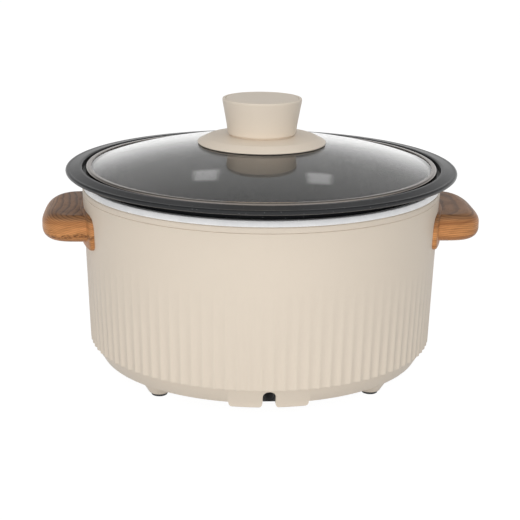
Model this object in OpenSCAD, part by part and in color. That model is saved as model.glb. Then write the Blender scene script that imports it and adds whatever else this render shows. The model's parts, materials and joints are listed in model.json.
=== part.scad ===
// Round electric slow cooker with a lift-out pot and a glass lid.
// Millimetres. Z is up and Z = 0 is the surface that it stands on. The origin
// is under the middle of the housing. The cord comes out on the -Y side, the
// control dial is on the +Y side, and the carry handles are on the X sides.

/* [Lid] */
// Diameter of the lid over its steel rim
lid_d = 280; // [270:1:290]
// Thickness of the lid glass
glass_t = 4; // [3:0.1:5]
// Rise of the glass from the rim to the middle
dome_rise = 20; // [16:0.5:24]
// Thickness of the sheet steel of the rim
rim_t = 0.7; // [0.5:0.1:1]
// Width of the two lips of the rim that hold the glass
rim_lip = 3.6; // [2.5:0.1:5]

/* [Knob] */
// Diameter across the top of the knob
knob_top_d = 63.2; // [56:0.2:70]
// Diameter at the foot of the knob
knob_foot_d = 54.6; // [50:0.2:56]
// Height of the knob's grip
grip_h = 28.8; // [24:0.1:34]
// Diameter of the wide brim under the grip
brim_d = 102.4; // [90:0.2:110]
// Thickness of the brim at its edge
brim_edge_t = 1.2; // [1:0.1:2]
// Width of the steeper band round the brim's edge
brim_band_w = 7.5; // [4:0.5:10]
// Height of that band
brim_band_h = 3.8; // [2:0.1:4.5]
// Rise of the brim from its edge to its neck
brim_rise = 4.9; // [4:0.1:7]
// Thickness of the two soft washers that grip the glass
gasket_t = 1.2; // [0.8:0.1:2]

/* [Pot] */
// Wall thickness of the pot
pot_t = 2.2; // [1.8:0.1:3]
// Gap between the lid rim and the step that it sits in
lid_side_gap = 3; // [2:0.1:4]
// Width of the flat flange outside the step
flange_w = 13; // [9:0.5:14]
// Width of the ledge that the lid rests on, measured inwards from the lid rim
ledge_w = 4.7; // [4:0.1:6]
// Amount that the pot narrows from its ledge to its floor, on the radius
pot_draft = 17.3; // [14:0.1:20]
// Radius of the corner between the pot's wall and floor
pot_corner_r = 12; // [8:0.5:16]
// Height of the pot's flange above the housing
flange_lift = 16.6; // [14:0.2:22]

/* [Housing] */
// Height of the shell's lower edge above the table
shell_z = 23; // [21:0.5:26]
// Height of the shell
shell_h = 120.8; // [110:0.2:140]
// Amount that the shell narrows to its lower edge, on the radius
shell_draft = 4.1; // [3:0.1:5]
// Wall thickness of the shell, the trim ring and the base
wall = 2.5; // [2:0.1:3]
// Height of the trim ring on top of the shell
ring_h = 4.6; // [4:0.1:8]
// Number of vertical flutes round the shell
flute_n = 100; // [80:1:104]
// Depth of a flute at the lower edge
flute_depth = 1.3; // [0.8:0.1:1.6]
// Height over which the flutes fade out
flute_h = 78; // [60:1:84]

/* [Liner] */
// Thickness of the liner sheet
liner_t = 0.9; // [0.7:0.1:1.2]
// Gap between the pot and the liner at the mouth
pot_gap = 1.9; // [1.5:0.1:3]
// Width of the liner's sloping rim
liner_rim_w = 5.4; // [4.5:0.1:7]
// Height of the liner's rim above the trim ring
liner_rim_h = 4.6; // [4:0.1:7]

/* [Base] */
// Height of the base floor above the table
floor_z = 11; // [10:0.5:12]
// Outer radius lost by the skirt from its top to its lower edge
skirt_draft = 7.6; // [6:0.1:9]
// Width of the notch for the cord
notch_w = 9.6; // [9:0.1:11]
// Distance of the two tabs beside the notch from its middle
tab_x = 5; // [5:0.5:7]
// Width of a tab
tab_w = 25; // [18:0.5:30]
// Height of the tabs' lower edge above the table
tab_z = 7; // [5:0.5:9]
// Radius of the circle that the feet stand on
foot_circle_r = 115.7; // [110:0.1:118]
// Radius of a rubber foot
foot_r = 6.3; // [5:0.1:8]

/* [Handles] */
// Distance that a handle stands out from the shell
handle_out = 32.8; // [28:0.1:40]
// Width of a handle's slab
handle_w = 92; // [84:1:100]
// Distance that the slab widens on each side where it meets the shell
handle_flare = 7.5; // [5:0.5:8]
// Thickness of a handle
handle_t = 21.9; // [19:0.1:24]
// Depth of the underside of a handle below the shell's top edge
handle_drop = 33.2; // [30:0.1:36]
// Radius of a handle's rounded lower edges
handle_edge_r = 8; // [5:0.5:10]
// Radius of a handle's rounded upper side edges
handle_top_r = 5; // [3:0.5:6]
// Length of the curved fall to the tip on top of a handle
handle_tip_l = 12; // [8:1:20]
// Height of that fall
handle_tip_h = 9.5; // [8:0.5:14]
// Thickness of the root plate that follows the shell
root_t = 3; // [2:0.1:4]

/* [Heater] */
// Radius of the cast heating plate
plate_r = 96; // [92:1:98]
// Thickness of the heating plate
plate_t = 6.3; // [6:0.1:8]
// Radius of the ring that the heating element follows
element_ring_r = 66; // [60:1:70]
// Radius of the element tube
element_r = 2.6; // [2.2:0.1:2.8]
// Travel of the spring-loaded sensor button
sensor_travel = 2; // [1.5:0.1:3]

/* [Control] */
// Height of the dial's axis above the table
dial_z = 62; // [60:0.5:66]
// Diameter of the dial
dial_d = 39; // [34:0.5:41]
// Diameter of the round panel behind the dial
panel_d = 60; // [58:0.5:64]
// Radius of the dial's shaft
shaft_r = 3; // [2.5:0.1:3.5]

/* [Hidden] */
$fn = 96;

cream = "#dccfba";
wood = "#a9713f";
steel = "#c9c7c4";
dark = "#2a2b2e";

// Clearances: between fixed pieces, under a piece that rests, round a running
// shaft, round a loose pin, and from one curved piece to a moving one
fit = 0.1;
rest_gap = 0.2;
run_fit = 0.06;
thread_fit = 0.05;
slide_gap = 0.4;
eps = 0.01;

// Heights, from the table up
floor_t = wall;
floor_top = floor_z + floor_t;
shield_t = 0.6;
shield_z = floor_top + 9.5;
liner_floor_z = shield_z + shield_t + 6.4;
liner_floor_top = liner_floor_z + liner_t;
stud_collar_h = 2.6;
plate_z = liner_floor_top + stud_collar_h;
plate_top = plate_z + plate_t;
pot_z = plate_top + rest_gap;
shell_top_z = shell_z + shell_h;
ring_top_z = shell_top_z + ring_h;
liner_lip_z = ring_top_z + liner_rim_h;
flange_z = ring_top_z + flange_lift;

// Lid and pot, from the lid rim outwards and inwards
lid_r = lid_d / 2;
rim_h = glass_t + 2 * (rim_t + fit);
ledge_z = flange_z - rim_h + rest_gap - 0.1;
lid_z = ledge_z + rest_gap;
glass_z = lid_z + rim_t + fit;
glass_r = lid_r - rim_t - fit;
dome_r = lid_r - rim_t - rim_lip;
dome_R = (dome_r * dome_r + dome_rise * dome_rise) / (2 * dome_rise);
apex_z = glass_z + glass_t + dome_rise;
riser_r = lid_r + lid_side_gap;
flange_r = riser_r + flange_w;
flange_t = 2;
flange_edge_r = 1.3;
mouth_r = lid_r - ledge_w;
wall_top_z = ledge_z - pot_t;
pot_slope = pot_draft / (wall_top_z - pot_z);
pot_angle = atan(pot_slope);

// Knob, from the glass up
glass_hole_r = 3.2;
screw_r = 2.45;
washer_r = 8;
seal_r = 9;
washer_t = 1;
boss_r = 14;
brim_z = apex_z + gasket_t;
brim_r = brim_d / 2;
brim_tip_w = 1.2;
brim_gap = 0.3;
brim_low_z = apex_z - dome_sag(brim_r - brim_tip_w) + brim_gap;
brim_edge_z = brim_low_z + brim_edge_t;
neck_r = knob_foot_d / 2 - 2.3;
neck_h = 0.8;
grip_z = brim_edge_z + brim_rise + neck_h;
knob_top_z = grip_z + grip_h;
grip_wall = 2.6;
grip_edge_r = 2.5;
cap_t = 2.4;
cap_r = knob_top_d / 2 - grip_edge_r - 0.4;
insert_r = 5;
insert_h = 12;
seal_z = apex_z - glass_t - fit - dome_sag(seal_r) - gasket_t;
washer_z = seal_z - washer_t;

// Liner, trim ring and shell
liner_in_r = mouth_r + pot_gap;
liner_foot_r = liner_in_r - pot_draft;
liner_slope = pot_draft / (liner_lip_z - liner_floor_top);
liner_corner_r = 6;
liner_edge_r = liner_in_r + liner_rim_w;
shell_top_r = liner_edge_r + 0.4;
ring_top_r = shell_top_r + 0.2;
seam = 0.4;
register_h = 6;
flute_r = 6;
flute_over = 4;
flute_end_depth = 0.3;

// Base, feet and their screws
skirt_top_r = shell_r(shell_z) - 1.9;
skirt_low_r = skirt_top_r - skirt_draft;
skirt_drop = 0.7;
skirt_top_z = shell_z - fit;
lip_r = shell_r(shell_z) - wall - fit;
lip_t = 2.2;
lip_h = 3.2;
tab_t = 3.4;
tab_corner_r = 3;
foot_h = 3.2;
foot_recess = 1;
foot_stem_r = 2.6;
foot_boss_low_r = foot_r + 1.3;
foot_boss_top_r = foot_r + 7;
vent_n = 18;
vent_r = 62;
vent_size = [20, 3];
case_screw_r = 1.9;
case_head_r = 3.6;
case_head_h = 2.2;
base_screw_n = 4;
base_screw_a = 20;
post_r = 4.6;
post_low_z = floor_top + 6;
post_from_wall = 14.4;
base_screw_circle_r = shell_r(shell_z) - wall - post_from_wall;
screw_bite = 6;
liner_screw_n = 3;
liner_screw_a = 90;
liner_screw_l = 12;
head_gap = 4.3;
liner_screw_circle_r = liner_foot_r - liner_corner_r - case_head_r - head_gap;
shield_r = liner_screw_circle_r + 6;
shield_post_r = 5;
liner_post_r = 3.6;

// Heating plate, element and sensor
stud_n = 3;
stud_a = 30;
stud_circle_r = element_ring_r + 14;
stud_r = 2.5;
stud_collar_r = 5;
stud_into_plate = 2;
nut_af = 8;
nut_h = 3.2;
element_z = plate_z + 1.3;
element_gap_a = 9;
pin_r = 1.6;
pin_low_z = shield_z + shield_t + 1;
sensor_r = 16.5;
sensor_cap_t = 1.5;
tube_r = 11.6;
tube_t = 1;
guide_r = tube_r - tube_t - slide_gap;
guide_t = 1.6;
guide_top_z = liner_floor_z;
holder_r = 19;
holder_t = 1.5;
sensor_tube_z = floor_top + holder_t + sensor_travel + 6;
spring_mean_r = 14;
spring_wire_r = 0.7;
spring_turns = 5;

// Parts under the liner floor
thermostat_at = [48, 0];
thermostat_r = 8;
thermostat_h = 4.4;
fuse_at = [-7, 50];
fuse_r = 2.2;
fuse_l = 14;
block_size = [36, 16, 8];
block_y = -96;
block_pitch = 11;
gland_r = notch_w / 2 - fit;
cord_hole_r = 3.6;
gland_l = 15;
gland_y = -skirt_low_r - 2;
gland_z = floor_top + 3.6;
lead_r = 1.2;
lead_holes = [[thermostat_at[0], -24], [-20, fuse_at[1]]];

// Handles
handle_z = shell_top_z - handle_drop;
root_w = handle_w + 2 * handle_flare + 3;
root_low_z = handle_z - 4;
root_top_z = handle_z + handle_t + 1;
root_corner_r = 5;
handle_power = 3.5;
flare_in = 2;
handle_screw_z = handle_z + handle_t / 2;
handle_screw_a = 12;
handle_screw_l = 15;

// Controls
switch_w = 24;
switch_t = 8.5;
bushing_r = 4.5;
bushing_l = 6;
panel_front_y = shell_r(dial_z) + 3;
dial_gap = 0.5;
dial_t = 11.8;
dial_y = panel_front_y + dial_gap;
switch_y = shell_r(dial_z) - wall - 1.3;
nut_r = bushing_r + 2.6;
switch_nut_h = 1.8;
lens_r = 1.8;
lens_z = dial_z + dial_d / 4 + panel_d / 4;
lens_y = shell_r(lens_z + lens_r) + fit;

// Height of the glass's curve lost at a radius
function dome_sag(r) = dome_R - sqrt(dome_R * dome_R - r * r);

// Outer radius of the shell at a height
function shell_r(z) = shell_top_r - (shell_top_z - z) * shell_draft / shell_h;

// Outer radius of the pot's wall at a height
function pot_r(z) = mouth_r - (wall_top_z - z) * pot_slope;

// Inner radius of the liner's wall at a height
function liner_r(z) = liner_in_r - (liner_lip_z - z) * liner_slope;

// Points of an arc in the plane of a turned outline
function arc(c, r, a0, a1, n) =
    [for (i = [0:n]) c + r * [cos(a0 + (a1 - a0) * i / n), sin(a0 + (a1 - a0) * i / n)]];

// Half of a rounded D outline, from one end of its straight side to the other
function d_outline(out, half_w, n) =
    [for (i = [0:n]) let (a = -90 + 180 * i / n)
        [out * pow(abs(cos(a)), 2 / handle_power),
         half_w * sign(sin(a)) * pow(abs(sin(a)), 2 / handle_power)]];

// Copies of the children spaced round the Z axis
module on_circle(r, n, a0 = 0) {
    for (i = [0:n - 1])
        rotate([0, 0, a0 + i * 360 / n])
            translate([r, 0, 0])
                children();
}

// A solid turned from points given as radius and height
module turned(points) {
    rotate_extrude()
        polygon(points);
}

// A flat ring
module washer(r_out, r_in, h) {
    difference() {
        cylinder(r = r_out, h = h);
        translate([0, 0, -1])
            cylinder(r = r_in, h = h + 2);
    }
}

// A pan-head screw with a cross recess: the head stands on Z = 0, and the
// shank points down
module pan_screw(head_r, head_h, r, l) {
    difference() {
        union() {
            cylinder(r = head_r, h = head_h);
            translate([0, 0, -l])
                cylinder(r = r, h = l + eps);
        }
        for (a = [0, 90])
            rotate([0, 0, a])
                translate([-head_r * 0.6, -head_r * 0.12, head_h * 0.5])
                    cube([head_r * 1.2, head_r * 0.24, head_h]);
    }
}

// A direction across a path at each of its points, and the path's own direction
function heading(p, i) =
    let (d = p[min(i + 1, len(p) - 1)] - p[max(i - 1, 0)]) d / norm(d);
function across(t) = let (c = cross(t, [1, 0.35, 0.2])) c / norm(c);

// A path with each corner turned into a short curve of a given reach
function rounded(p, reach) = concat([p[0]],
    [for (i = [1:len(p) - 2]) let (
        a = p[i - 1] - p[i],
        b = p[i + 1] - p[i],
        from = p[i] + a / norm(a) * min(reach, norm(a) * 0.4),
        to = p[i] + b / norm(b) * min(reach, norm(b) * 0.4))
        for (u = [0:0.25:1])
            (1 - u) * (1 - u) * from + 2 * u * (1 - u) * p[i] + u * u * to],
    [p[len(p) - 1]]);

// A round wire along a path
module wire(p, r, sides = 8) {
    n = len(p);
    points = [for (i = [0:n - 1]) let (t = heading(p, i), u = across(t), v = cross(t, u))
        for (j = [0:sides - 1]) p[i] + r * (cos(360 * j / sides) * u + sin(360 * j / sides) * v)];
    walls = [for (i = [0:n - 2]) for (j = [0:sides - 1])
        [i * sides + j, (i + 1) * sides + j, (i + 1) * sides + (j + 1) % sides,
         i * sides + (j + 1) % sides]];
    ends = [[for (j = [0:sides - 1]) j],
        [for (j = [sides - 1:-1:0]) (n - 1) * sides + j]];
    polyhedron(points, concat(walls, ends));
}

// An insulated lead with rounded corners
module lead(p) {
    wire(rounded(p, 8), lead_r);
}

// The space inside the shell's outer face, grown by a gap
module shell_space(gap) {
    z0 = shell_z;
    z1 = shell_top_z;
    translate([0, 0, z0])
        cylinder(r1 = shell_r(z0) + gap, r2 = shell_r(z1) + gap, h = z1 - z0, $fn = 720);
}

module lid_glass() {
    color("#8a9094", 0.45)
    difference() {
        rotate_extrude()
            difference() {
                union() {
                    translate([0, glass_z])
                        square([glass_r, glass_t]);
                    intersection() {
                        translate([0, apex_z - dome_R])
                            circle(r = dome_R, $fn = 1440);
                        translate([0, glass_z])
                            square([dome_r, dome_rise + glass_t + 1]);
                    }
                }
                translate([0, apex_z - glass_t - dome_R])
                    circle(r = dome_R, $fn = 1440);
            }
        translate([0, 0, apex_z - glass_t - 1])
            cylinder(r = glass_hole_r, h = glass_t + 2);
    }
}

module lid_rim() {
    c = rim_t * 0.6;
    in_r = lid_r - rim_t - rim_lip;
    top = lid_z + rim_h;
    color(steel)
        turned([[in_r, lid_z], [lid_r - c, lid_z], [lid_r, lid_z + c], [lid_r, top - c],
            [lid_r - c, top], [in_r, top], [in_r, top - rim_t], [lid_r - rim_t, top - rim_t],
            [lid_r - rim_t, lid_z + rim_t], [in_r, lid_z + rim_t]]);
}

module lid_gasket() {
    color(dark)
        translate([0, 0, apex_z])
            washer(boss_r - 1, glass_hole_r, gasket_t);
}

module lid_seal() {
    color(dark)
        translate([0, 0, seal_z])
            washer(seal_r, screw_r + fit, gasket_t);
}

module lid_washer() {
    color(steel)
        translate([0, 0, washer_z])
            washer(washer_r, screw_r + fit, washer_t);
}

module lid_screw() {
    color(steel)
        translate([0, 0, washer_z])
            mirror([0, 0, 1])
                pan_screw(4.6, 2.8, screw_r, grip_z + insert_h - 1 - washer_z);
}

module knob_insert() {
    color("#b5954b")
        translate([0, 0, grip_z])
            washer(insert_r, screw_r + thread_fit, insert_h);
}

module knob_brim() {
    hole_r = screw_r + 3 * fit;
    slope_z = brim_edge_z + brim_rise;
    color(cream)
        turned([[hole_r, brim_z], [boss_r, brim_z], [boss_r, brim_z + 1.4],
            [brim_r - brim_tip_w, brim_low_z], [brim_r - 0.3, brim_low_z],
            [brim_r, brim_low_z + 0.3], [brim_r, brim_edge_z - 0.3],
            [brim_r - 0.3, brim_edge_z], [brim_r - brim_band_w, brim_edge_z + brim_band_h],
            [neck_r + 0.8, slope_z], [neck_r, slope_z + 0.4],
            [neck_r, grip_z], [hole_r, grip_z]]);
}

module knob_grip() {
    foot_r = knob_foot_d / 2;
    top_r = knob_top_d / 2;
    bevel = 1.2;
    cup_z = grip_z + 3;
    boss_in_r = insert_r + fit;
    boss_out_r = boss_in_r + 2.6;
    boss_top = grip_z + insert_h + fit + 2;
    color(cream)
        turned(concat(
            [[boss_in_r, grip_z], [foot_r - bevel, grip_z], [foot_r, grip_z + bevel]],
            arc([top_r - grip_edge_r, knob_top_z - grip_edge_r], grip_edge_r, 0, 90, 6),
            [[cap_r + fit, knob_top_z], [cap_r + fit, knob_top_z - cap_t],
             [cap_r - 1.6, knob_top_z - cap_t], [foot_r - grip_wall, cup_z],
             [boss_out_r, cup_z], [boss_out_r, boss_top], [screw_r + fit, boss_top],
             [screw_r + fit, boss_top - 2], [boss_in_r, boss_top - 2]]));
}

module knob_cap() {
    color(cream)
        translate([0, 0, knob_top_z - cap_t])
            difference() {
                cylinder(r = cap_r, h = cap_t);
                translate([0, 0, -1])
                    cylinder(r = cap_r - 4, h = 1.8);
            }
}

module inner_pot() {
    t_h = pot_t / cos(pot_angle);
    corner_z = pot_z + pot_corner_r;
    corner = [pot_r(corner_z) - pot_corner_r / cos(pot_angle), corner_z];
    color(dark)
    rotate_extrude() {
        polygon(concat(
            [[0, pot_z]],
            arc(corner, pot_corner_r, -90, -pot_angle, 8),
            [[mouth_r, wall_top_z], [riser_r + pot_t, wall_top_z],
             [riser_r + pot_t, flange_z - flange_t],
             [flange_r - flange_edge_r, flange_z - flange_t],
             [flange_r - flange_edge_r, flange_z], [riser_r + 0.6, flange_z],
             [riser_r, flange_z - 0.6], [riser_r, ledge_z], [mouth_r - t_h + 1, ledge_z],
             [mouth_r - t_h + 0.2, ledge_z - 0.6], [pot_r(ledge_z - 3) - t_h, ledge_z - 3]],
            arc(corner, pot_corner_r - pot_t, -pot_angle, -90, 8),
            [[0, pot_z + pot_t]]));
        translate([flange_r - flange_edge_r, flange_z - flange_edge_r])
            circle(r = flange_edge_r);
    }
}

// The grooves of the flutes: round cutters that lean away from the wall, so
// that each groove is deepest at the lower edge and shallow at its upper end
module flute_cutters() {
    low_r = shell_r(shell_z) + flute_r - flute_depth;
    top_r = shell_r(shell_z + flute_h) + flute_r - flute_end_depth;
    lean = atan((top_r - low_r) / flute_h);
    on_circle(low_r, flute_n)
        translate([-flute_over * tan(lean), 0, shell_z - flute_over])
            rotate([0, lean, 0])
                cylinder(r = flute_r, h = (flute_h + flute_over) / cos(lean));
}

module outer_shell() {
    color(cream)
    difference() {
        union() {
            difference() {
                turned([[shell_r(shell_z) - wall, shell_z], [shell_r(shell_z), shell_z],
                    [shell_top_r, shell_top_z], [shell_top_r - wall, shell_top_z]]);
                flute_cutters();
            }
            on_circle(base_screw_circle_r, base_screw_n, base_screw_a)
                shell_post();
        }
        translate([0, 0, dial_z])
            rotate([-90, 0, 0])
                cylinder(r = bushing_r + fit, h = shell_top_r);
        for (a = [0, 180])
            handle_screw_places(a)
                translate([0, 0, shell_r(handle_screw_z) - 2 * wall])
                    cylinder(r = case_screw_r + fit, h = 4 * wall);
    }
}

// A screw post with its web to the shell wall
module shell_post() {
    web_z = skirt_top_z + lip_h + 0.4;
    top = liner_floor_z - 0.6;
    difference() {
        union() {
            translate([0, 0, post_low_z + fit])
                cylinder(r = post_r, h = top - post_low_z - fit);
            translate([post_r - 2, -1.5, web_z])
                cube([shell_r(web_z) - wall - base_screw_circle_r - post_r + 2.8, 3, top - web_z]);
        }
        translate([0, 0, post_low_z - 1])
            cylinder(r = case_screw_r + thread_fit, h = screw_bite + 3);
    }
}

module top_ring() {
    in_r = liner_r(shell_top_z - register_h) + liner_t + 1.2;
    out_r = shell_r(shell_top_z - register_h) - wall - fit;
    color(cream)
        turned([[in_r, shell_top_z - register_h], [out_r, shell_top_z - register_h],
            [shell_top_r - wall - fit, shell_top_z], [shell_top_r - wall + 0.8, shell_top_z],
            [shell_top_r - wall + 0.8, shell_top_z + seam], [shell_top_r - 0.1, shell_top_z + seam],
            [ring_top_r, ring_top_z - 0.5], [ring_top_r - 0.5, ring_top_z],
            [liner_in_r + liner_t + 1.2, ring_top_z],
            [liner_in_r + liner_t + 1.2, shell_top_z]]);
}

module liner() {
    angle = atan(liner_slope);
    corner_z = liner_floor_top + liner_corner_r;
    corner = [liner_r(corner_z) - liner_corner_r / cos(angle), corner_z];
    rim_in = liner_in_r + liner_t;
    edge_z = ring_top_z + fit;
    color(steel)
    difference() {
        turned(concat(
            [[0, liner_floor_z]],
            arc(corner, liner_corner_r + liner_t, -90, -angle, 4),
            [[rim_in, liner_lip_z - 1.6], [rim_in + 0.5, liner_lip_z - 1.2],
             [liner_edge_r - 0.8, edge_z + 0.1], [liner_edge_r - 0.3, edge_z],
             [liner_edge_r, edge_z + 0.4], [liner_edge_r - 0.2, edge_z + 0.9],
             [rim_in + 0.8, liner_lip_z - 0.3], [rim_in, liner_lip_z],
             [liner_in_r + 0.2, liner_lip_z - 0.4], [liner_r(liner_lip_z - 2), liner_lip_z - 2]],
            arc(corner, liner_corner_r, -angle, -90, 4),
            [[0, liner_floor_top]]));
        translate([0, 0, liner_floor_z - 1])
            cylinder(r = sensor_r + 1.5, h = 4);
        on_circle(liner_screw_circle_r, liner_screw_n, liner_screw_a)
            translate([0, 0, liner_floor_z - 1])
                cylinder(r = case_screw_r + fit, h = 4);
        on_circle(stud_circle_r, stud_n, stud_a)
            translate([0, 0, liner_floor_z - 1])
                cylinder(r = stud_r + fit, h = 4);
        element_pins(pin_r + 1.2, liner_floor_z - 1, liner_floor_top + 1);
    }
}

module liner_screws() {
    color(steel)
        on_circle(liner_screw_circle_r, liner_screw_n, liner_screw_a)
            translate([0, 0, liner_floor_top])
                pan_screw(case_head_r, case_head_h, case_screw_r, liner_screw_l);
}

// The two straight ends of the heating element, on the cord side
module element_pins(r, z0, z1) {
    for (s = [-1, 1])
        rotate([0, 0, -90 + s * element_gap_a])
            translate([element_ring_r, 0, z0])
                cylinder(r = r, h = z1 - z0);
}

module element_ring(r) {
    rotate_extrude()
        translate([element_ring_r, 0])
            circle(r = r);
}

module heating_plate() {
    color("#b9bbbd")
    difference() {
        turned([[sensor_r + 1, plate_z], [plate_r - 1, plate_z], [plate_r, plate_z + 1],
            [plate_r, plate_top - 1.2], [plate_r - 1.2, plate_top], [sensor_r + 1.6, plate_top],
            [sensor_r + 1, plate_top - 0.6]]);
        translate([0, 0, element_z])
            element_ring(element_r + fit);
        on_circle(stud_circle_r, stud_n, stud_a)
            translate([0, 0, plate_z - 1])
                cylinder(r = stud_r + thread_fit, h = stud_into_plate + 1 + fit);
    }
}

module heater_element() {
    gap_w = 2 * (element_ring_r * sin(element_gap_a) - pin_r);
    color("#7c7b78") {
        translate([0, 0, element_z])
            difference() {
                element_ring(element_r);
                translate([-gap_w / 2, -element_ring_r - 2 * element_r, -2 * element_r])
                    cube([gap_w, 4 * element_r, 4 * element_r]);
            }
        element_pins(pin_r, pin_low_z, element_z);
    }
}

module plate_studs() {
    color(steel)
        on_circle(stud_circle_r, stud_n, stud_a) {
            translate([0, 0, liner_floor_z - nut_h - 1.6])
                cylinder(r = stud_r, h = nut_h + 1.6 + liner_t + stud_collar_h + stud_into_plate);
            translate([0, 0, liner_floor_top])
                cylinder(r = stud_collar_r, h = stud_collar_h);
        }
}

module plate_nuts() {
    color(steel)
        on_circle(stud_circle_r, stud_n, stud_a)
            translate([0, 0, liner_floor_z - nut_h])
                difference() {
                    cylinder(r = nut_af / 2 / cos(30), h = nut_h, $fn = 6);
                    translate([0, 0, -1])
                        cylinder(r = stud_r + thread_fit, h = nut_h + 2);
                }
}

module heat_shield() {
    window = [36, 18];
    color(steel)
    difference() {
        translate([0, 0, shield_z])
            washer(shield_r, holder_r + 2, shield_t);
        on_circle(liner_screw_circle_r, liner_screw_n, liner_screw_a)
            translate([0, 0, shield_z - 1])
                cylinder(r = liner_post_r + fit, h = 3);
        translate([-window[0] / 2, -element_ring_r - window[1] / 2, shield_z - 1])
            cube([window[0], window[1], 3]);
        for (p = lead_holes)
            translate([p[0], p[1], shield_z - 1])
                cylinder(r = 3, h = 3);
    }
}

module sensor_cap() {
    color("#c4c6c8")
    difference() {
        union() {
            translate([0, 0, plate_top - sensor_cap_t])
                cylinder(r = sensor_r, h = sensor_cap_t);
            translate([0, 0, sensor_tube_z])
                cylinder(r = tube_r, h = plate_top - sensor_tube_z - eps);
        }
        translate([0, 0, sensor_tube_z - 1])
            cylinder(r = tube_r - tube_t, h = plate_top - sensor_cap_t - sensor_tube_z + 1);
    }
}

module sensor_holder() {
    color("#6f7072") {
        translate([0, 0, floor_top])
            washer(holder_r, guide_r - guide_t, holder_t);
        translate([0, 0, floor_top + holder_t - eps])
            washer(guide_r, guide_r - guide_t, guide_top_z - floor_top - holder_t);
    }
}

// A compression spring between the holder and the sensor cap
module sensor_spring() {
    steps = 14 * spring_turns;
    low = floor_top + holder_t + spring_wire_r + fit;
    high = plate_top - sensor_cap_t - spring_wire_r - fit;
    path = [for (i = [0:steps]) let (a = 360 * spring_turns * i / steps)
        [spring_mean_r * cos(a), spring_mean_r * sin(a), low + (high - low) * i / steps]];
    color(steel)
        wire(path, spring_wire_r);
}

module thermostat() {
    z = liner_floor_z - fit - thermostat_h;
    color("#3b3532") {
        translate([thermostat_at[0], thermostat_at[1], z])
            cylinder(r = thermostat_r, h = thermostat_h);
        for (s = [-1, 1])
            translate([thermostat_at[0] - 2, thermostat_at[1] + s * (thermostat_r + 3) - 4, z + 1])
                cube([4, 8, 0.8]);
    }
}

module thermal_fuse() {
    z = liner_floor_z - fit - fuse_r;
    color("#d8d2c4")
        translate([fuse_at[0], fuse_at[1], z])
            rotate([0, 90, 0]) {
                cylinder(r = fuse_r, h = fuse_l);
                translate([0, 0, -8])
                    cylinder(r = 0.5, h = fuse_l + 16);
            }
}

module terminal_block() {
    color("#e8e4da")
        translate([-block_size[0] / 2, block_y - block_size[1] / 2, floor_top])
            difference() {
                cube(block_size);
                for (i = [-1:1])
                    for (y = [0.28, 0.72])
                        translate([block_size[0] / 2 + i * block_pitch, block_size[1] * y, 3])
                            cylinder(r = 2.4, h = block_size[2]);
            }
}

module terminal_screws() {
    color("#b5954b")
        for (i = [-1:1])
            for (y = [-0.22, 0.22])
                translate([i * block_pitch, block_y + block_size[1] * y, floor_top + 3])
                    difference() {
                        cylinder(r = 2.4 - fit, h = 3.4);
                        translate([-2, -0.4, 2.4])
                            cube([4, 0.8, 2]);
                    }
}

// Insulated leads: from the block to the element, to the safety parts and to
// the selector switch
module internal_leads() {
    z = floor_top + lead_r + 2;
    front = block_y + block_size[1] / 2 + fit;
    pin = element_ring_r * [sin(element_gap_a), -cos(element_gap_a)];
    pin_z = pin_low_z - fit;
    spade_z = liner_floor_z - thermostat_h + 1.3;
    spade_y = thermostat_r + 7 + fit;
    fuse_z = liner_floor_z - fit - fuse_r;
    fuse_end = fuse_at[0] + fuse_l + 8 + fit;
    cross_z = z + 4;
    end_y = switch_y - switch_t / 2;
    switch_low_z = dial_z - switch_w / 2;
    riser_y = liner_r(switch_low_z - 6) + liner_t + 2 * lead_r;
    color("#c9483c") {
        lead([[pin[0], front, z], [pin[0], pin[1], z], [pin[0], pin[1], pin_z]]);
        lead([[-pin[0], front, z], [-pin[0], pin[1], z], [-pin[0], pin[1], pin_z]]);
        for (s = [0, 1]) {
            x = -27 - 6 * s;
            end_x = -6 + 12 * s;
            turn_z = z + 4 * s;
            lead([[-15 + s, front, turn_z], [-15 + s, front + 5, turn_z], [x, front + 16, turn_z],
                [x, liner_screw_circle_r / 2, turn_z],
                [-18 + 6 * s, liner_screw_circle_r + 12, turn_z], [end_x, riser_y, turn_z],
                [end_x, riser_y, switch_low_z - 12], [end_x, end_y, switch_low_z - 5],
                [end_x, end_y, switch_low_z - fit]]);
        }
        lead([[15, front, z], [15, front + 5, z], [30, front + 20, z],
            [30, lead_holes[0][1] - 12, z],
            [lead_holes[0][0], lead_holes[0][1], z], [lead_holes[0][0], lead_holes[0][1], spade_z],
            [thermostat_at[0], -spade_y, spade_z]]);
        lead([[thermostat_at[0], spade_y, spade_z], [thermostat_at[0], fuse_at[1], fuse_z],
            [fuse_end, fuse_at[1], fuse_z]]);
        lead([[-fuse_end, fuse_at[1], fuse_z], [lead_holes[1][0], lead_holes[1][1], fuse_z],
            [lead_holes[1][0], lead_holes[1][1], cross_z],
            [lead_holes[1][0], front + 22, cross_z],
            [0, front + 8, cross_z], [0, front, cross_z]]);
    }
}

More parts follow.
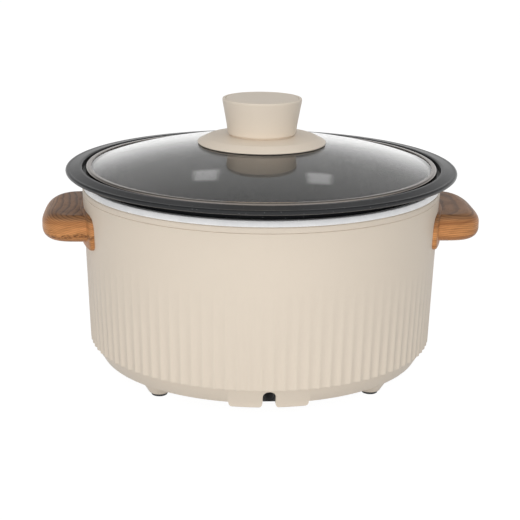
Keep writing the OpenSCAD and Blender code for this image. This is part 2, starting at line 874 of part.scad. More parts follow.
module base_cover() {
    skirt_z = floor_z - skirt_drop;
    in_top = skirt_top_r - wall - 0.5;
    in_low = skirt_low_r - wall;
    color(cream)
    difference() {
        union() {
            turned([[0, floor_z], [in_low, floor_z], [in_low + 0.2, skirt_z],
                [skirt_low_r, skirt_z], [skirt_top_r, skirt_top_z], [lip_r, skirt_top_z],
                [lip_r, skirt_top_z + lip_h], [lip_r - lip_t, skirt_top_z + lip_h],
                [lip_r - lip_t, skirt_top_z], [in_low, floor_top], [0, floor_top]]);
            on_circle(foot_circle_r, 4, 45)
                foot_boss();
            on_circle(base_screw_circle_r, base_screw_n, base_screw_a)
                translate([0, 0, floor_top - eps])
                    cylinder(r = post_r, h = post_low_z - floor_top);
            on_circle(liner_screw_circle_r, liner_screw_n, liner_screw_a)
                liner_post();
            for (s = [0, 1])
                mirror([s, 0, 0])
                    base_tab();
        }
        on_circle(foot_circle_r, 4, 45)
            foot_socket();
        on_circle(base_screw_circle_r, base_screw_n, base_screw_a)
            translate([0, 0, floor_z - 1])
                cylinder(r = case_screw_r + fit, h = post_low_z);
        on_circle(liner_screw_circle_r, liner_screw_n, liner_screw_a)
            translate([0, 0, liner_floor_z - liner_screw_l])
                cylinder(r = case_screw_r + thread_fit, h = liner_screw_l + 2);
        on_circle(vent_r, vent_n)
            translate([-vent_size[0] / 2, -vent_size[1] / 2, floor_z - 1])
                cube([vent_size[0], vent_size[1], floor_t + 2]);
        cord_notch();
    }
}

// The arched slot through the skirt that the cord gland fills
module cord_notch() {
    start_y = -skirt_top_r - 2;
    l = gland_y + gland_l + fit - start_y;
    translate([0, start_y, gland_z])
        rotate([-90, 0, 0])
            cylinder(r = notch_w / 2, h = l);
    translate([-notch_w / 2, start_y, tab_z - 1])
        cube([notch_w, l, gland_z - tab_z + 1]);
}

module foot_boss() {
    z = foot_h - foot_recess;
    translate([0, 0, z])
        cylinder(r1 = foot_boss_low_r, r2 = foot_boss_top_r, h = floor_z - z + eps);
}

module foot_socket() {
    translate([0, 0, -1])
        cylinder(r = foot_r + fit, h = foot_h + 1);
    translate([0, 0, foot_h - eps])
        cylinder(r = foot_stem_r + fit, h = floor_top);
}

module liner_post() {
    translate([0, 0, floor_top - eps])
        cylinder(r = shield_post_r, h = shield_z - floor_top);
    translate([0, 0, floor_top])
        cylinder(r = liner_post_r, h = liner_floor_z - fit - floor_top);
}

// A low rounded tab on the skirt's outer face, beside the cord notch
module base_tab() {
    h = floor_top - tab_z;
    intersection() {
        translate([0, 0, tab_z])
            washer(skirt_low_r + 0.6, skirt_low_r + 0.6 - tab_t, h);
        translate([tab_x, 0, tab_z])
            rotate([90, 0, 0])
                linear_extrude(skirt_low_r + 2) {
                    translate([tab_corner_r, tab_corner_r])
                        circle(r = tab_corner_r);
                    translate([tab_w - tab_corner_r, tab_corner_r])
                        circle(r = tab_corner_r);
                    translate([tab_corner_r, 0])
                        square([tab_w - 2 * tab_corner_r, h]);
                    translate([0, tab_corner_r])
                        square([tab_w, h - tab_corner_r]);
                }
    }
}

module base_screws() {
    color(steel)
        on_circle(base_screw_circle_r, base_screw_n, base_screw_a)
            translate([0, 0, floor_z])
                mirror([0, 0, 1])
                    pan_screw(case_head_r, case_head_h, case_screw_r,
                        post_low_z + screw_bite - floor_z);
}

module foot_pads() {
    color("#1b1b1c")
        on_circle(foot_circle_r, 4, 45) {
            cylinder(r = foot_r, h = foot_h);
            translate([0, 0, foot_h - eps])
                cylinder(r = foot_stem_r, h = floor_top - foot_h);
        }
}

// The cord gland: an arched plug with a collar behind the skirt
module cord_gland() {
    collar_r = gland_r + 1.6;
    collar_y = -skirt_low_r + wall + 0.5;
    color("#161616")
    difference() {
        union() {
            translate([0, gland_y, gland_z])
                rotate([-90, 0, 0])
                    cylinder(r = gland_r, h = gland_l);
            translate([-gland_r, gland_y, gland_z - gland_r])
                cube([2 * gland_r, gland_l, gland_r]);
            intersection() {
                translate([0, collar_y, gland_z])
                    rotate([-90, 0, 0])
                        cylinder(r = collar_r, h = 2);
                translate([-collar_r, collar_y, floor_top + fit])
                    cube([2 * collar_r, 2, 2 * collar_r]);
            }
        }
        translate([0, gland_y - 1, gland_z])
            rotate([-90, 0, 0])
                cylinder(r = cord_hole_r, h = gland_l + 2);
    }
}

// The handle on the +X side: a slab with rounded edges and a root plate that
// follows the shell
module handle() {
    start_r = shell_r(handle_screw_z) - 4 * wall;
    end_r = shell_r(handle_screw_z) + handle_screw_l;
    color(wood)
    difference() {
        union() {
            handle_slab();
            handle_root();
        }
        shell_space(fit);
        handle_screw_places(0)
            translate([0, 0, start_r])
                cylinder(r = case_screw_r + thread_fit, h = end_r - start_r);
    }
}

// The slab: rings of one outline, drawn in by [height, at the tip, at the sides]
module handle_slab() {
    n = 20;
    steps = 4;
    top_steps = 7;
    fall_z = handle_t - handle_tip_h;
    bottom = [for (i = [steps:-1:0]) let (a = 90 * i / steps, c = handle_edge_r * (1 - cos(a)))
        [handle_edge_r * (1 - sin(a)), c, c]];
    top = [for (i = [0:top_steps]) let (a = 90 * i / top_steps,
            z = fall_z + handle_tip_h * sin(a), up = max(0, z - handle_t + handle_top_r))
        [z, handle_tip_l * (1 - cos(a)),
         handle_top_r - sqrt(handle_top_r * handle_top_r - up * up)]];
    rings = concat(bottom, top);
    plans = [for (k = rings) handle_plan(k[1], k[2], n)];
    sides = len(plans[0]);
    points = [for (i = [0:len(rings) - 1]) for (p = plans[i]) [p[0], p[1], handle_z + rings[i][0]]];
    walls = [for (i = [0:len(rings) - 2]) for (j = [0:sides - 1])
        let (a = i * sides + j, b = i * sides + (j + 1) % sides)
            for (f = [[a, a + sides, b + sides], [a, b + sides, b]]) f];
    last = (len(rings) - 1) * sides;
    across = [for (j = [0:floor((sides - 1) / 2) - 1]) let (k = sides - 1 - j)
        j + 1 == k - 1 ? [j, j + 1, k] : [j, j + 1, k - 1, k]];
    ends = [for (f = across) each [f, [for (i = [len(f) - 1:-1:0]) last + f[i]]]];
    polyhedron(points, concat(walls, ends));
}

// The slab's outline in plan, from inside the shell out to its front
function handle_plan(tip_in, side_in, n) =
    let (at = shell_r(handle_z), back = at - handle_out, half_w = handle_w / 2 - side_in,
        side = flare(at, half_w, 3))
    concat([[back, -half_w - handle_flare]], [for (p = side) [p[0], -p[1]]],
        [for (p = d_outline(handle_out - tip_in, half_w, n)) [at + p[0], p[1]]],
        [for (i = [len(side) - 1:-1:0]) side[i]], [[back, half_w + handle_flare]]);

// Where the slab's side runs out towards the shell, from the shell outwards
function flare(at, half_w, n) =
    let (wide = half_w + handle_flare, x0 = sqrt(at * at - wide * wide) - 1,
        x1 = at - flare_in)
    [for (i = [0:n]) let (u = i / n)
        [x0 + (x1 - x0) * u, half_w + handle_flare * (1 - u) * (1 - u)]];

module handle_root() {
    intersection() {
        shell_space(root_t);
        translate([0, 0, root_low_z])
            rotate([90, 0, 90])
                linear_extrude(shell_top_r + root_t)
                    root_outline(root_w / 2, root_top_z - root_low_z);
    }
}

module root_outline(half_w, h) {
    c = root_corner_r;
    top_c = 2 * c;
    for (s = [-1, 1]) {
        translate([s * (half_w - c), c])
            circle(r = c);
        translate([s * (half_w - top_c), h - top_c])
            circle(r = top_c);
    }
    translate([-half_w, c])
        square([2 * half_w, h - c - top_c]);
    translate([-half_w + c, 0])
        square([2 * (half_w - c), h - top_c]);
    translate([-half_w + top_c, 0])
        square([2 * (half_w - top_c), h]);
}

// Puts children at a handle's two screws, with +Z pointing outwards along the
// shell's radius from the axis of the housing
module handle_screw_places(side_a) {
    for (s = [-1, 1])
        rotate([0, 0, side_a + s * handle_screw_a])
            translate([0, 0, handle_screw_z])
                rotate([0, 90, 0])
                    children();
}

module right_handle() {
    handle();
}

module left_handle() {
    mirror([1, 0, 0])
        handle();
}

module handle_screws() {
    seat_r = shell_r(handle_screw_z - case_head_r) - wall - fit;
    color(steel)
        for (a = [0, 180])
            handle_screw_places(a)
                translate([0, 0, seat_r])
                    mirror([0, 0, 1])
                        pan_screw(case_head_r, case_head_h, case_screw_r, handle_screw_l);
}

module control_panel() {
    r = panel_d / 2;
    bevel = 1.2;
    color("#3a3a3c")
    difference() {
        translate([0, 0, dial_z])
            rotate([-90, 0, 0]) {
                cylinder(r = r, h = panel_front_y - bevel);
                translate([0, 0, panel_front_y - bevel - eps])
                    cylinder(r1 = r, r2 = r - bevel, h = bevel + eps);
            }
        shell_space(fit);
        translate([0, 0, dial_z])
            rotate([-90, 0, 0])
                cylinder(r = nut_r + 0.6, h = panel_front_y + 1);
        translate([0, 0, lens_z])
            rotate([-90, 0, 0])
                cylinder(r = lens_r + fit, h = panel_front_y + 1);
    }
}

module indicator_lens() {
    color("#d9542b", 0.8)
        translate([0, lens_y, lens_z])
            rotate([-90, 0, 0])
                cylinder(r = lens_r, h = panel_front_y + 0.2 - lens_y);
}

module selector_switch() {
    back_y = switch_y - switch_t;
    color("#2c3a44")
    difference() {
        union() {
            translate([-switch_w / 2, back_y, dial_z - switch_w / 2])
                cube([switch_w, switch_t, switch_w]);
            translate([0, switch_y - eps, dial_z])
                rotate([-90, 0, 0])
                    cylinder(r = bushing_r, h = bushing_l);
        }
        translate([0, back_y + 2, dial_z])
            rotate([-90, 0, 0])
                cylinder(r = shaft_r + run_fit, h = switch_t + bushing_l);
    }
}

module switch_nut() {
    nut_y = shell_r(dial_z + nut_r) + fit;
    color(steel)
        translate([0, nut_y, dial_z])
            rotate([-90, 0, 0])
                difference() {
                    cylinder(r = nut_r, h = switch_nut_h, $fn = 6);
                    translate([0, 0, -1])
                        cylinder(r = bushing_r + thread_fit, h = switch_nut_h + 2);
                }
}

module control_dial() {
    r = dial_d / 2;
    edge = 1.4;
    grip_w = 9;
    dish = dial_t - 3.4;
    color("#e4dccd")
        translate([0, dial_y, dial_z])
            rotate([-90, 0, 0])
                difference() {
                    union() {
                        difference() {
                            turned([[0, 0], [r, 0], [r, dial_t - edge], [r - edge, dial_t],
                                [0, dial_t]]);
                            for (s = [-1, 1])
                                translate([s > 0 ? grip_w / 2 : -grip_w / 2 - r, -r, 3.4])
                                    intersection() {
                                        cube([r, 2 * r, dish + 1]);
                                        translate([s > 0 ? -grip_w / 2 : grip_w / 2 + r, r, 0])
                                            cylinder(r = r - 2 * edge, h = dish + 1);
                                    }
                        }
                        translate([0, 0, switch_y - switch_t + 2.6 - dial_y])
                            cylinder(r = shaft_r, h = dial_y + switch_t - 2.6 - switch_y + 1);
                    }
                    translate([-0.6, -0.85 * r, dial_t - 0.5])
                        cube([1.2, 0.6 * r, 1]);
                    washer_space(r);
                }
}

// The hollow behind the dial that clears the nut of the switch
module washer_space(r) {
    difference() {
        translate([0, 0, -1])
            cylinder(r = nut_r + 1.4, h = 2.6);
        translate([0, 0, -2])
            cylinder(r = shaft_r, h = 5);
    }
}

lid_glass();
lid_rim();
lid_gasket();
lid_seal();
lid_washer();
lid_screw();
knob_insert();
knob_brim();
knob_grip();
knob_cap();
inner_pot();
outer_shell();
top_ring();
liner();
liner_screws();
heating_plate();
heater_element();
plate_studs();
plate_nuts();
heat_shield();
sensor_cap();
sensor_holder();
sensor_spring();
thermostat();
thermal_fuse();
terminal_block();
terminal_screws();
internal_leads();
base_cover();
base_screws();
foot_pads();
cord_gland();
left_handle();
right_handle();
handle_screws();
control_panel();
indicator_lens();
selector_switch();
switch_nut();
control_dial();
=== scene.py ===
import json
import math

import bmesh
import bpy
from bpy.props import FloatProperty, FloatVectorProperty, IntProperty, PointerProperty
from mathutils import Matrix, Vector

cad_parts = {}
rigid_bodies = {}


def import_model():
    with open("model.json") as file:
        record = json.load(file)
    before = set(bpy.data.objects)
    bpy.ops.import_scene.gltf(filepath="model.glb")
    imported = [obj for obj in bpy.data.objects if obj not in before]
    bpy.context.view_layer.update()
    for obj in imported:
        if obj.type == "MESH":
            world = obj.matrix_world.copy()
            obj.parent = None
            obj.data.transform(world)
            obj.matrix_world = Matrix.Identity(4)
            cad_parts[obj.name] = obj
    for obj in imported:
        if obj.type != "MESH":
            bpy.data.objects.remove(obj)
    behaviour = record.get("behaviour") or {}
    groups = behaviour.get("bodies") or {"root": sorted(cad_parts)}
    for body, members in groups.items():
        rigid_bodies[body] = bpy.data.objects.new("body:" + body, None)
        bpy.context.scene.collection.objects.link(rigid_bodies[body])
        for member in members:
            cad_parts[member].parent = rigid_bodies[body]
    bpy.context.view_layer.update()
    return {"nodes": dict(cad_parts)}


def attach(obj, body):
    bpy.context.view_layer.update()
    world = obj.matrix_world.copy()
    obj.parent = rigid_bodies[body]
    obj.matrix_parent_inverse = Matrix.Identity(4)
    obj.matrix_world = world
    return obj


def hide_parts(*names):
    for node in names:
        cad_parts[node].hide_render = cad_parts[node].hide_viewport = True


bl_info = {
    "name": "Slow cooker",
    "version": (1, 0, 0),
    "blender": (4, 5, 0),
    "location": "3D View > Sidebar > Cooker",
    "description": "Builds the visible pieces of a round slow cooker round its packed solids",
    "category": "Object",
}

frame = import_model()

# Millimetres, the same as the solids
MM = 0.001
SHELL_Z, SHELL_TOP_Z = 23.0, 143.8
SHELL_TOP_R, SHELL_SLOPE = 143.0, 4.1 / 120.8
WALL = 2.5
RING_TOP_Z = 148.4
LINER_IN_R, LINER_LIP_Z, LINER_FLOOR_TOP = 137.2, 153.0, 30.9
LINER_SLOPE = 17.3 / (LINER_LIP_Z - LINER_FLOOR_TOP)
PLATE_Z, PLATE_TOP, PLATE_R = 33.5, 39.8, 96.0
SENSOR_LOW_Z = 23.0
POT_Z, POT_T = 40.0, 2.2
LEDGE_Z, FLANGE_Z, MOUTH_R, RISER_R, FLANGE_R = 159.5, 165.0, 135.3, 143.0, 156.0
POT_SLOPE = 17.3 / (LEDGE_Z - POT_T - POT_Z)
LID_R, LID_Z, LID_RIM_H, LID_HOLE_R = 140.0, 159.7, 5.6, 3.2
GLASS_Z, GLASS_T, DOME_EDGE_R, DOME_RISE = 160.5, 4.0, 135.7, 20.0
DOME_R = (DOME_EDGE_R ** 2 + DOME_RISE ** 2) / (2 * DOME_RISE)
APEX_Z = GLASS_Z + GLASS_T + DOME_RISE
BRIM_Z, BRIM_R, BRIM_LOW_Z, BRIM_EDGE_Z = 185.7, 51.2, 182.14, 183.33
GRIP_Z, KNOB_TOP_Z, KNOB_FOOT_R, KNOB_TOP_R = 189.03, 217.83, 27.3, 31.6
FLOOR_Z, FLOOR_TOP, FLOOR_R = 11.0, 13.5, 126.9
SKIRT_TOP_R, SKIRT_TOP_Z, SKIRT_LOW_R, SKIRT_LOW_Z = 137.0, 22.9, 129.4, 10.3
FOOT_CIRCLE_R, FOOT_TURN = 115.7, math.pi / 4
BASE_SCREW_CIRCLE_R, BASE_SCREW_TURN = 122.0, math.radians(20)
WELL_SCREW_CIRCLE_R = 106.0
VENT_CIRCLE_R, VENT_HALF_L, VENT_END_R = 62.0, 8.5, 1.5
SOCKET_R, SOCKET_STEM_R, PAD_R, PAD_STEM_R, PAD_TOP_Z = 6.4, 2.7, 6.3, 2.6, 3.2
SCREW_HEAD_R, SCREW_HEAD_H, SCREW_R = 3.6, 2.2, 1.9
TAB_Z, TAB_NEAR, TAB_FAR, TAB_ROUND = 7, 5.0, 30.0, 3.0
HANDLE_Z, HANDLE_T, HANDLE_OUT, HANDLE_HALF_W, HANDLE_FLARE = 110.6, 21.9, 32.8, 46.0, 7.5
ROOT_LOW_Z, ROOT_TOP_Z, ROOT_HALF_W, ROOT_T = 106.6, 133.5, 55.0, 3.0
DIAL_Z, DIAL_R, DIAL_T, PANEL_R, PANEL_Y, DIAL_Y = 62.0, 19.5, 11.8, 30.0, 143.22, 143.72
LENS_Z, LENS_R, LENS_BACK_Y = 86.75, 1.8, 141.25
TICK_R, LONG_TICK_R, FIGURE_R, FIGURE_H = 23.4, 23.7, 26.9, 3.6
SHAFT_R, SHAFT_END_Y = 3.0, 130.6
GLAND_Z, GLAND_Y, GLAND_L, GLAND_R = 17.1, -131.4, 15.0, 4.7


def shell_r(z):
    """Outer radius of the housing shell at a height."""
    return SHELL_TOP_R - (SHELL_TOP_Z - z) * SHELL_SLOPE


def well_r(z):
    """Inner radius of the heating well at a height."""
    return LINER_IN_R - (LINER_LIP_Z - z) * LINER_SLOPE


def pot_r(z):
    """Outer radius of the pot at a height."""
    return MOUTH_R - (LEDGE_Z - POT_T - z) * POT_SLOPE


def dome_z(r, top):
    """Height of the lid's curve at a radius, below its middle height."""
    return top - DOME_R + math.sqrt(DOME_R ** 2 - r * r)


def srgb(red, green, blue):
    """A colour written as 0 to 255 display values, as linear values."""
    def linear(c):
        c /= 255
        return c / 12.92 if c <= 0.04045 else ((c + 0.055) / 1.055) ** 2.4
    return linear(red), linear(green), linear(blue)


def tinted(colour, amount):
    return tuple(min(1.0, c * amount) for c in colour)


# Properties

def colour_property(name, text, *shade):
    return FloatVectorProperty(name=name, description=text, default=srgb(*shade),
        subtype="COLOR", size=3, min=0, max=1)


class CookerSizes(bpy.types.PropertyGroup):
    """Sizes of the details that have no solid of their own."""
    flute_count: IntProperty(name="Flutes", description="Vertical flutes round the shell",
        default=100, min=20, max=200)
    flute_depth: FloatProperty(name="Flute depth", description="Depth of a flute at its foot",
        default=0.00115, min=0, max=0.002, unit="LENGTH", precision=5)
    flute_top: FloatProperty(name="Flute top", description="Height where the flutes have faded out",
        default=0.104, unit="LENGTH", precision=4)
    flute_turn: FloatProperty(name="Flute turn", description="Turn of the first ridge",
        default=math.radians(0.85), unit="ROTATION", subtype="ANGLE")
    vent_count: IntProperty(name="Vents", description="Slots in the base floor",
        default=18, min=3, max=40)
    dial_ribs: IntProperty(name="Dial ribs", description="Fine ribs round the dial",
        default=48, min=12, max=120)
    dial_marks: IntProperty(name="Dial marks", description="Ticks round the dial",
        default=13, min=4, max=60)


class CookerColours(bpy.types.PropertyGroup):
    """Colours of the main finishes."""
    cream: colour_property("Housing", "Cream plastic of housing and knob", 231, 218, 201)
    pot: colour_property("Pot", "Dark coating of the pot", 30, 31, 33)
    steel: colour_property("Steel", "Folded band round the lid", 150, 143, 137)
    aluminium: colour_property("Aluminium", "Heating well and its rim", 226, 227, 226)
    wood_light: colour_property("Light wood", "Early wood of the handles", 212, 149, 94)
    wood_dark: colour_property("Dark wood", "Late wood of the handles", 138, 86, 50)


# Node tools

class Value:
    """A node's output that can be used in a formula."""

    def __init__(self, graph, socket):
        self.graph, self.socket = graph, socket

    def __neg__(self):
        return self * -1.0

    def ramp(self, low, high, to_low=0.0, to_high=1.0):
        """The value from low to high as a smooth step from to_low to to_high."""
        return self.graph.node("ShaderNodeMapRange",
            {0: self, 1: low, 2: high, 3: to_low, 4: to_high}, interpolation_type="SMOOTHSTEP")


def formula(operation, backwards=False):
    """A method that makes a node of one operation, of the value and the numbers after it."""
    def method(self, *others):
        terms = (*others, self) if backwards else (self, *others)
        return self.graph.node("ShaderNodeMath", dict(enumerate(terms)), operation=operation)
    return method


for key, operation in {"at_least": "MAXIMUM", "at_most": "MINIMUM", "above": "GREATER_THAN",
        "sin": "SINE", "cos": "COSINE", "arcsin": "ARCSINE", "turn_from": "ARCTAN2",
        "root": "SQRT", "size": "ABSOLUTE", "part": "FRACT"}.items():
    setattr(Value, key, formula(operation))
for key, operation in {"add": "ADD", "sub": "SUBTRACT", "mul": "MULTIPLY", "truediv": "DIVIDE",
        "pow": "POWER"}.items():
    setattr(Value, f"__{key}__", formula(operation))
    setattr(Value, f"__r{key}__", formula(operation, True))


class Graph:
    """Adds nodes to a shader or geometry tree."""

    def __init__(self, tree):
        self.tree = tree

    def feed(self, socket, value):
        if isinstance(value, Value):
            self.tree.links.new(value.socket, socket)
        elif socket.type == "RGBA":
            socket.default_value = (*value, 1.0)
        else:
            socket.default_value = value

    def node(self, kind, inputs=None, out=0, **settings):
        """A node of any kind: its settings are set first, then its inputs."""
        made = self.tree.nodes.new(kind)
        for key, value in settings.items():
            setattr(made, key, value)
        for key, value in (inputs or {}).items():
            self.feed(made.inputs[key], value)
        return Value(self, made.outputs[out]) if made.outputs else None

    def several(self, kind, inputs, *keys):
        """Several outputs of one node."""
        made = self.node(kind, inputs).socket.node
        return [Value(self, made.outputs[key]) for key in keys]

    def place(self):
        """Object coordinates."""
        return self.node("ShaderNodeTexCoord", out="Object")

    def xyz(self, vector):
        return self.several("ShaderNodeSeparateXYZ", {0: vector}, 0, 1, 2)

    def vector(self, x, y, z):
        return self.node("ShaderNodeCombineXYZ", {0: x, 1: y, 2: z})

    def noise(self, vector, scale, detail=2.0, rough=0.5, distort=0.0):
        return self.node("ShaderNodeTexNoise", {"Vector": vector, "Scale": scale,
            "Detail": detail, "Roughness": rough, "Distortion": distort})

    def flecks(self, vector, scale):
        """Random cells: the distance to each one's middle, and its random value."""
        distance, colour = self.several("ShaderNodeTexVoronoi",
            {"Vector": vector, "Scale": scale}, "Distance", "Color")
        return distance, self.xyz(colour)[0]

    def mix(self, factor, first, second):
        return self.node("ShaderNodeMix", {0: factor, 6: first, 7: second}, 2, data_type="RGBA")

    def bump(self, height, distance, strength):
        return self.node("ShaderNodeBump",
            {"Height": height, "Distance": distance, "Strength": strength})

    def turned_lines(self, point, scale):
        """Fine rings round the vertical axis, as a lathe leaves them."""
        x, y, z = self.xyz(point)
        r = (x * x + y * y).root()
        return self.noise(self.vector(r * scale, z * scale, 0.0), 1, 2, 0.7)


def fresh_tree(owner):
    """The emptied node tree of a new material or world, as a graph."""
    owner.use_nodes = True
    owner.node_tree.nodes.clear()
    return Graph(owner.node_tree)


# Finishes

def finish_of(name, varying, **fixed):
    """A material: varying makes the linked sockets, and the fixed ones are set on the shader."""
    material = bpy.data.materials.new(name)
    graph = fresh_tree(material)
    inputs = {key.replace("_", " ").title().replace("Ior", "IOR"): value
        for key, value in fixed.items()}
    inputs.update(varying(graph))
    shader = graph.node("ShaderNodeBsdfPrincipled", inputs)
    graph.node("ShaderNodeOutputMaterial", {"Surface": shader})
    if "base_color" in fixed:
        material.diffuse_color = (*fixed["base_color"], 1.0)
    return material


def clouded(name, colour, gloss, fine, cloud, shades, rough, bump, specks=0.0, **fixed):
    """One colour with a fine texture in its polish and slow clouds of shade and gloss.

    fine makes the texture at a point, cloud is the scale and detail of the clouds, shades are
    the tints they run between, rough is what texture and clouds add to the roughness, and bump
    is the depth and strength of the texture."""
    def varying(g):
        p = g.place()
        drift = g.noise(p, *cloud)
        shade = g.mix(drift, tinted(colour, shades[0]), tinted(colour, shades[1]))
        if specks:
            dark = g.noise(p, 900, 1).ramp(0.62, 0.75, 0.0, specks)
            shade = g.mix(dark, shade, tinted(colour, 0.8))
        texture = fine(g, p)
        return {"Base Color": shade,
            "Roughness": gloss + rough[0] * (texture - 0.5) + rough[1] * (drift - 0.5),
            "Normal": g.bump(texture, *bump)}
    return finish_of(name, varying, **fixed)


def cream_plastic(name="cream_plastic", gloss=0.47, grain=0.00004):
    """Satin moulded plastic: a fine spark texture and slow drifts of shade and gloss."""
    return clouded(name, bpy.context.scene.cooker_colours.cream, gloss,
        lambda g, p: g.noise(p, 1500, 3, 0.6), (14, 3), (0.965, 1.02), (0.06, 0.08),
        (grain, 0.8), 0.10, specular_ior_level=0.45)


def spun_metal(name, colour, gloss, line_scale, line_depth, patchy=0.04):
    """Metal turned on a lathe: fine rings round the axis, with faint cloudy patches."""
    return clouded(name, colour, gloss, lambda g, p: g.turned_lines(p, line_scale), (22, 4),
        (1 - patchy, 1.0), (0.12, 0.10), (line_depth, 0.7), metallic=1.0)


def plain_metal(name, colour, gloss, scale=350):
    """Rolled or plated metal: fine scratches, small stains and softer edges of shine."""
    return clouded(name, colour, gloss, lambda g, p: g.noise(p, scale, 4, 0.65), (45, 3),
        (0.86, 1.0), (0.16, 0.1), (0.00002, 0.5), metallic=1.0)


def moulded(name, colour, gloss, grain=0.00003, scale=1300, sheen=0.0):
    """Plain moulded plastic or rubber in one colour, with a fine matte texture."""
    return clouded(name, colour, gloss, lambda g, p: g.noise(p, scale, 3, 0.6), (30, 3),
        (0.82, 1.1), (0.1, 0.08), (grain, 0.8), sheen_weight=sheen)


def well_metal():
    """The spun well: bright turned metal inside, and a pale satin finish on its rolled rim."""
    colour = bpy.context.scene.cooker_colours.aluminium

    def varying(g):
        p = g.place()
        rim = g.xyz(p)[2].ramp(0.1472, 0.1488)
        lines = g.turned_lines(p, 2600)
        blot = g.noise(p, 95, 4, 0.6)
        shade = g.mix(g.noise(p, 22, 4), tinted(colour, 0.95), tuple(colour))
        pale = g.mix(blot.ramp(0.35, 0.7), (0.88, 0.885, 0.89), (0.97, 0.97, 0.97))
        return {"Base Color": g.mix(rim, shade, pale), "Metallic": 1.0 - 0.5 * rim,
            "Roughness": 0.30 + 0.20 * rim + 0.12 * (lines - 0.5) + 0.12 * (blot - 0.5),
            "Normal": g.bump(lines, 0.00001, 0.7)}
    return finish_of("spun_aluminium", varying)


def pot_coating():
    """Dark ceramic-like coating with fine pale flecks and a soft orange-peel surface."""
    colour = bpy.context.scene.cooker_colours.pot

    def varying(g):
        p = g.place()
        distance, chance = g.flecks(p, 620)
        fleck = chance.above(0.80) * (0.22 - distance).ramp(0.0, 0.12)
        shade = g.mix(g.noise(p, 40, 3), tinted(colour, 0.85), tinted(colour, 1.15))
        peel = g.noise(p, 260, 2)
        return {"Base Color": g.mix(fleck * 0.55, shade, (0.36, 0.36, 0.37)),
            "Roughness": 0.27 + 0.06 * peel + 0.10 * fleck,
            "Normal": g.bump(peel, 0.00002, 0.35)}
    return finish_of("pot_coating", varying, specular_ior_level=0.36)


def clear_glass():
    """Tempered glass: clear, faintly grey, with a trace of handling marks in its polish."""
    return finish_of("clear_glass",
        lambda g: {"Roughness": 0.003 + 0.002 * g.noise(g.place(), 18, 4, 0.6, 0.4)},
        base_color=(0.90, 0.895, 0.885), transmission_weight=1.0, ior=1.5)


def amber_lens():
    return finish_of("amber_lens", lambda g: {"Roughness": 0.12 + 0.08 * g.noise(g.place(), 400)},
        base_color=srgb(236, 120, 38), transmission_weight=0.45, ior=1.49)


def handle_wood():
    """Oiled wood: fine level fibres, darker arcs and painted shade on its top, and a knotty streak."""
    colours = bpy.context.scene.cooker_colours
    light, dark = tuple(colours.wood_light), tuple(colours.wood_dark)

    def varying(g):
        x, y, z = g.xyz(g.place())
        far, right = x.size(), x.above(0.0)
        bend = g.noise(g.vector(x, y * 0.5, z), 26, 2, 0.5) - 0.5

        # Fibres, level along the right handle and rising along the left one
        level = z + 0.09 * (1.0 - right) * (far - 0.15) + 0.004 * bend
        grain = g.vector(x * 0.05, y * 0.05, level)
        fine = g.noise(grain, 1150, 4, 0.65)
        broad = g.noise(grain, 300, 3, 0.6)
        tone = g.noise(g.vector(x * 0.3, y * 0.3, level), 90, 3, 0.5)
        shade = g.mix(tone.ramp(0.35, 0.65), tinted(light, 0.88), tinted(light, 1.12))
        shade = g.mix(broad.ramp(0.46, 0.68, 0.0, 0.55), shade, dark)
        shade = g.mix(fine.ramp(0.50, 0.70, 0.0, 0.55), shade, tinted(dark, 0.7))

        # A darker line under the edge of the top, year rings that show most on the top, and painted
        # shade over the whole top
        edge = z.ramp(0.1225, 0.1265) * (1.0 - z.ramp(0.1275, 0.1295))
        shade = g.mix(edge * 0.35, shade, dark)
        # Mask of the top of the slab, used for the painted shade there and for the rings
        top = z.ramp(0.1270, 0.1308)
        wander = g.noise(g.vector(x * 0.5, y * 0.3, z), 170, 3, 0.6) - 0.5
        ring = z * 3.7 + far * (1.5 * right - 1.0) + 2.8 * y * y + 0.012 * bend + 0.0035 * wander
        ring = (ring * 175).part()
        ring = ring.ramp(0.35, 0.86) * (1.0 - ring.ramp(0.90, 1.0))
        shade = g.mix(ring * 0.42, shade, tinted(dark, 0.8))
        # Painted shade: the whole top is darkened to a grey brown, standing in for the dimmer light
        # that falls on it
        shade = g.mix(top * 0.62, shade, (0.122, 0.075, 0.047))
        shade = g.mix(top * ring * ring * (0.50 - 0.22 * right), shade, tinted(dark, 0.25))

        # A knotty streak on the left handle, and open pores
        middle = level - 0.1160 + 0.002 * bend
        streak = (1.0 - middle.size().ramp(0.0005, 0.0026)) * (1.0 - right)
        knots = g.noise(g.vector(x, y, z * 2.0), 330, 3, 0.7)
        shade = g.mix(streak * knots.ramp(0.40, 0.62) * 0.8, shade, tinted(dark, 0.3))
        pit = g.noise(g.vector(x * 0.4, y * 0.16, z * 1.6), 2200, 2, 0.6).ramp(0.62, 0.72)
        return {"Base Color": g.mix(pit * 0.3, shade, tinted(dark, 0.4)),
            "Roughness": 0.40 + 0.14 * (fine - 0.5) + 0.15 * pit,
            "Normal": g.bump(fine - 0.5 * pit, 0.00005, 0.5)}
    return finish_of("oiled_wood", varying, specular_ior_level=0.2)


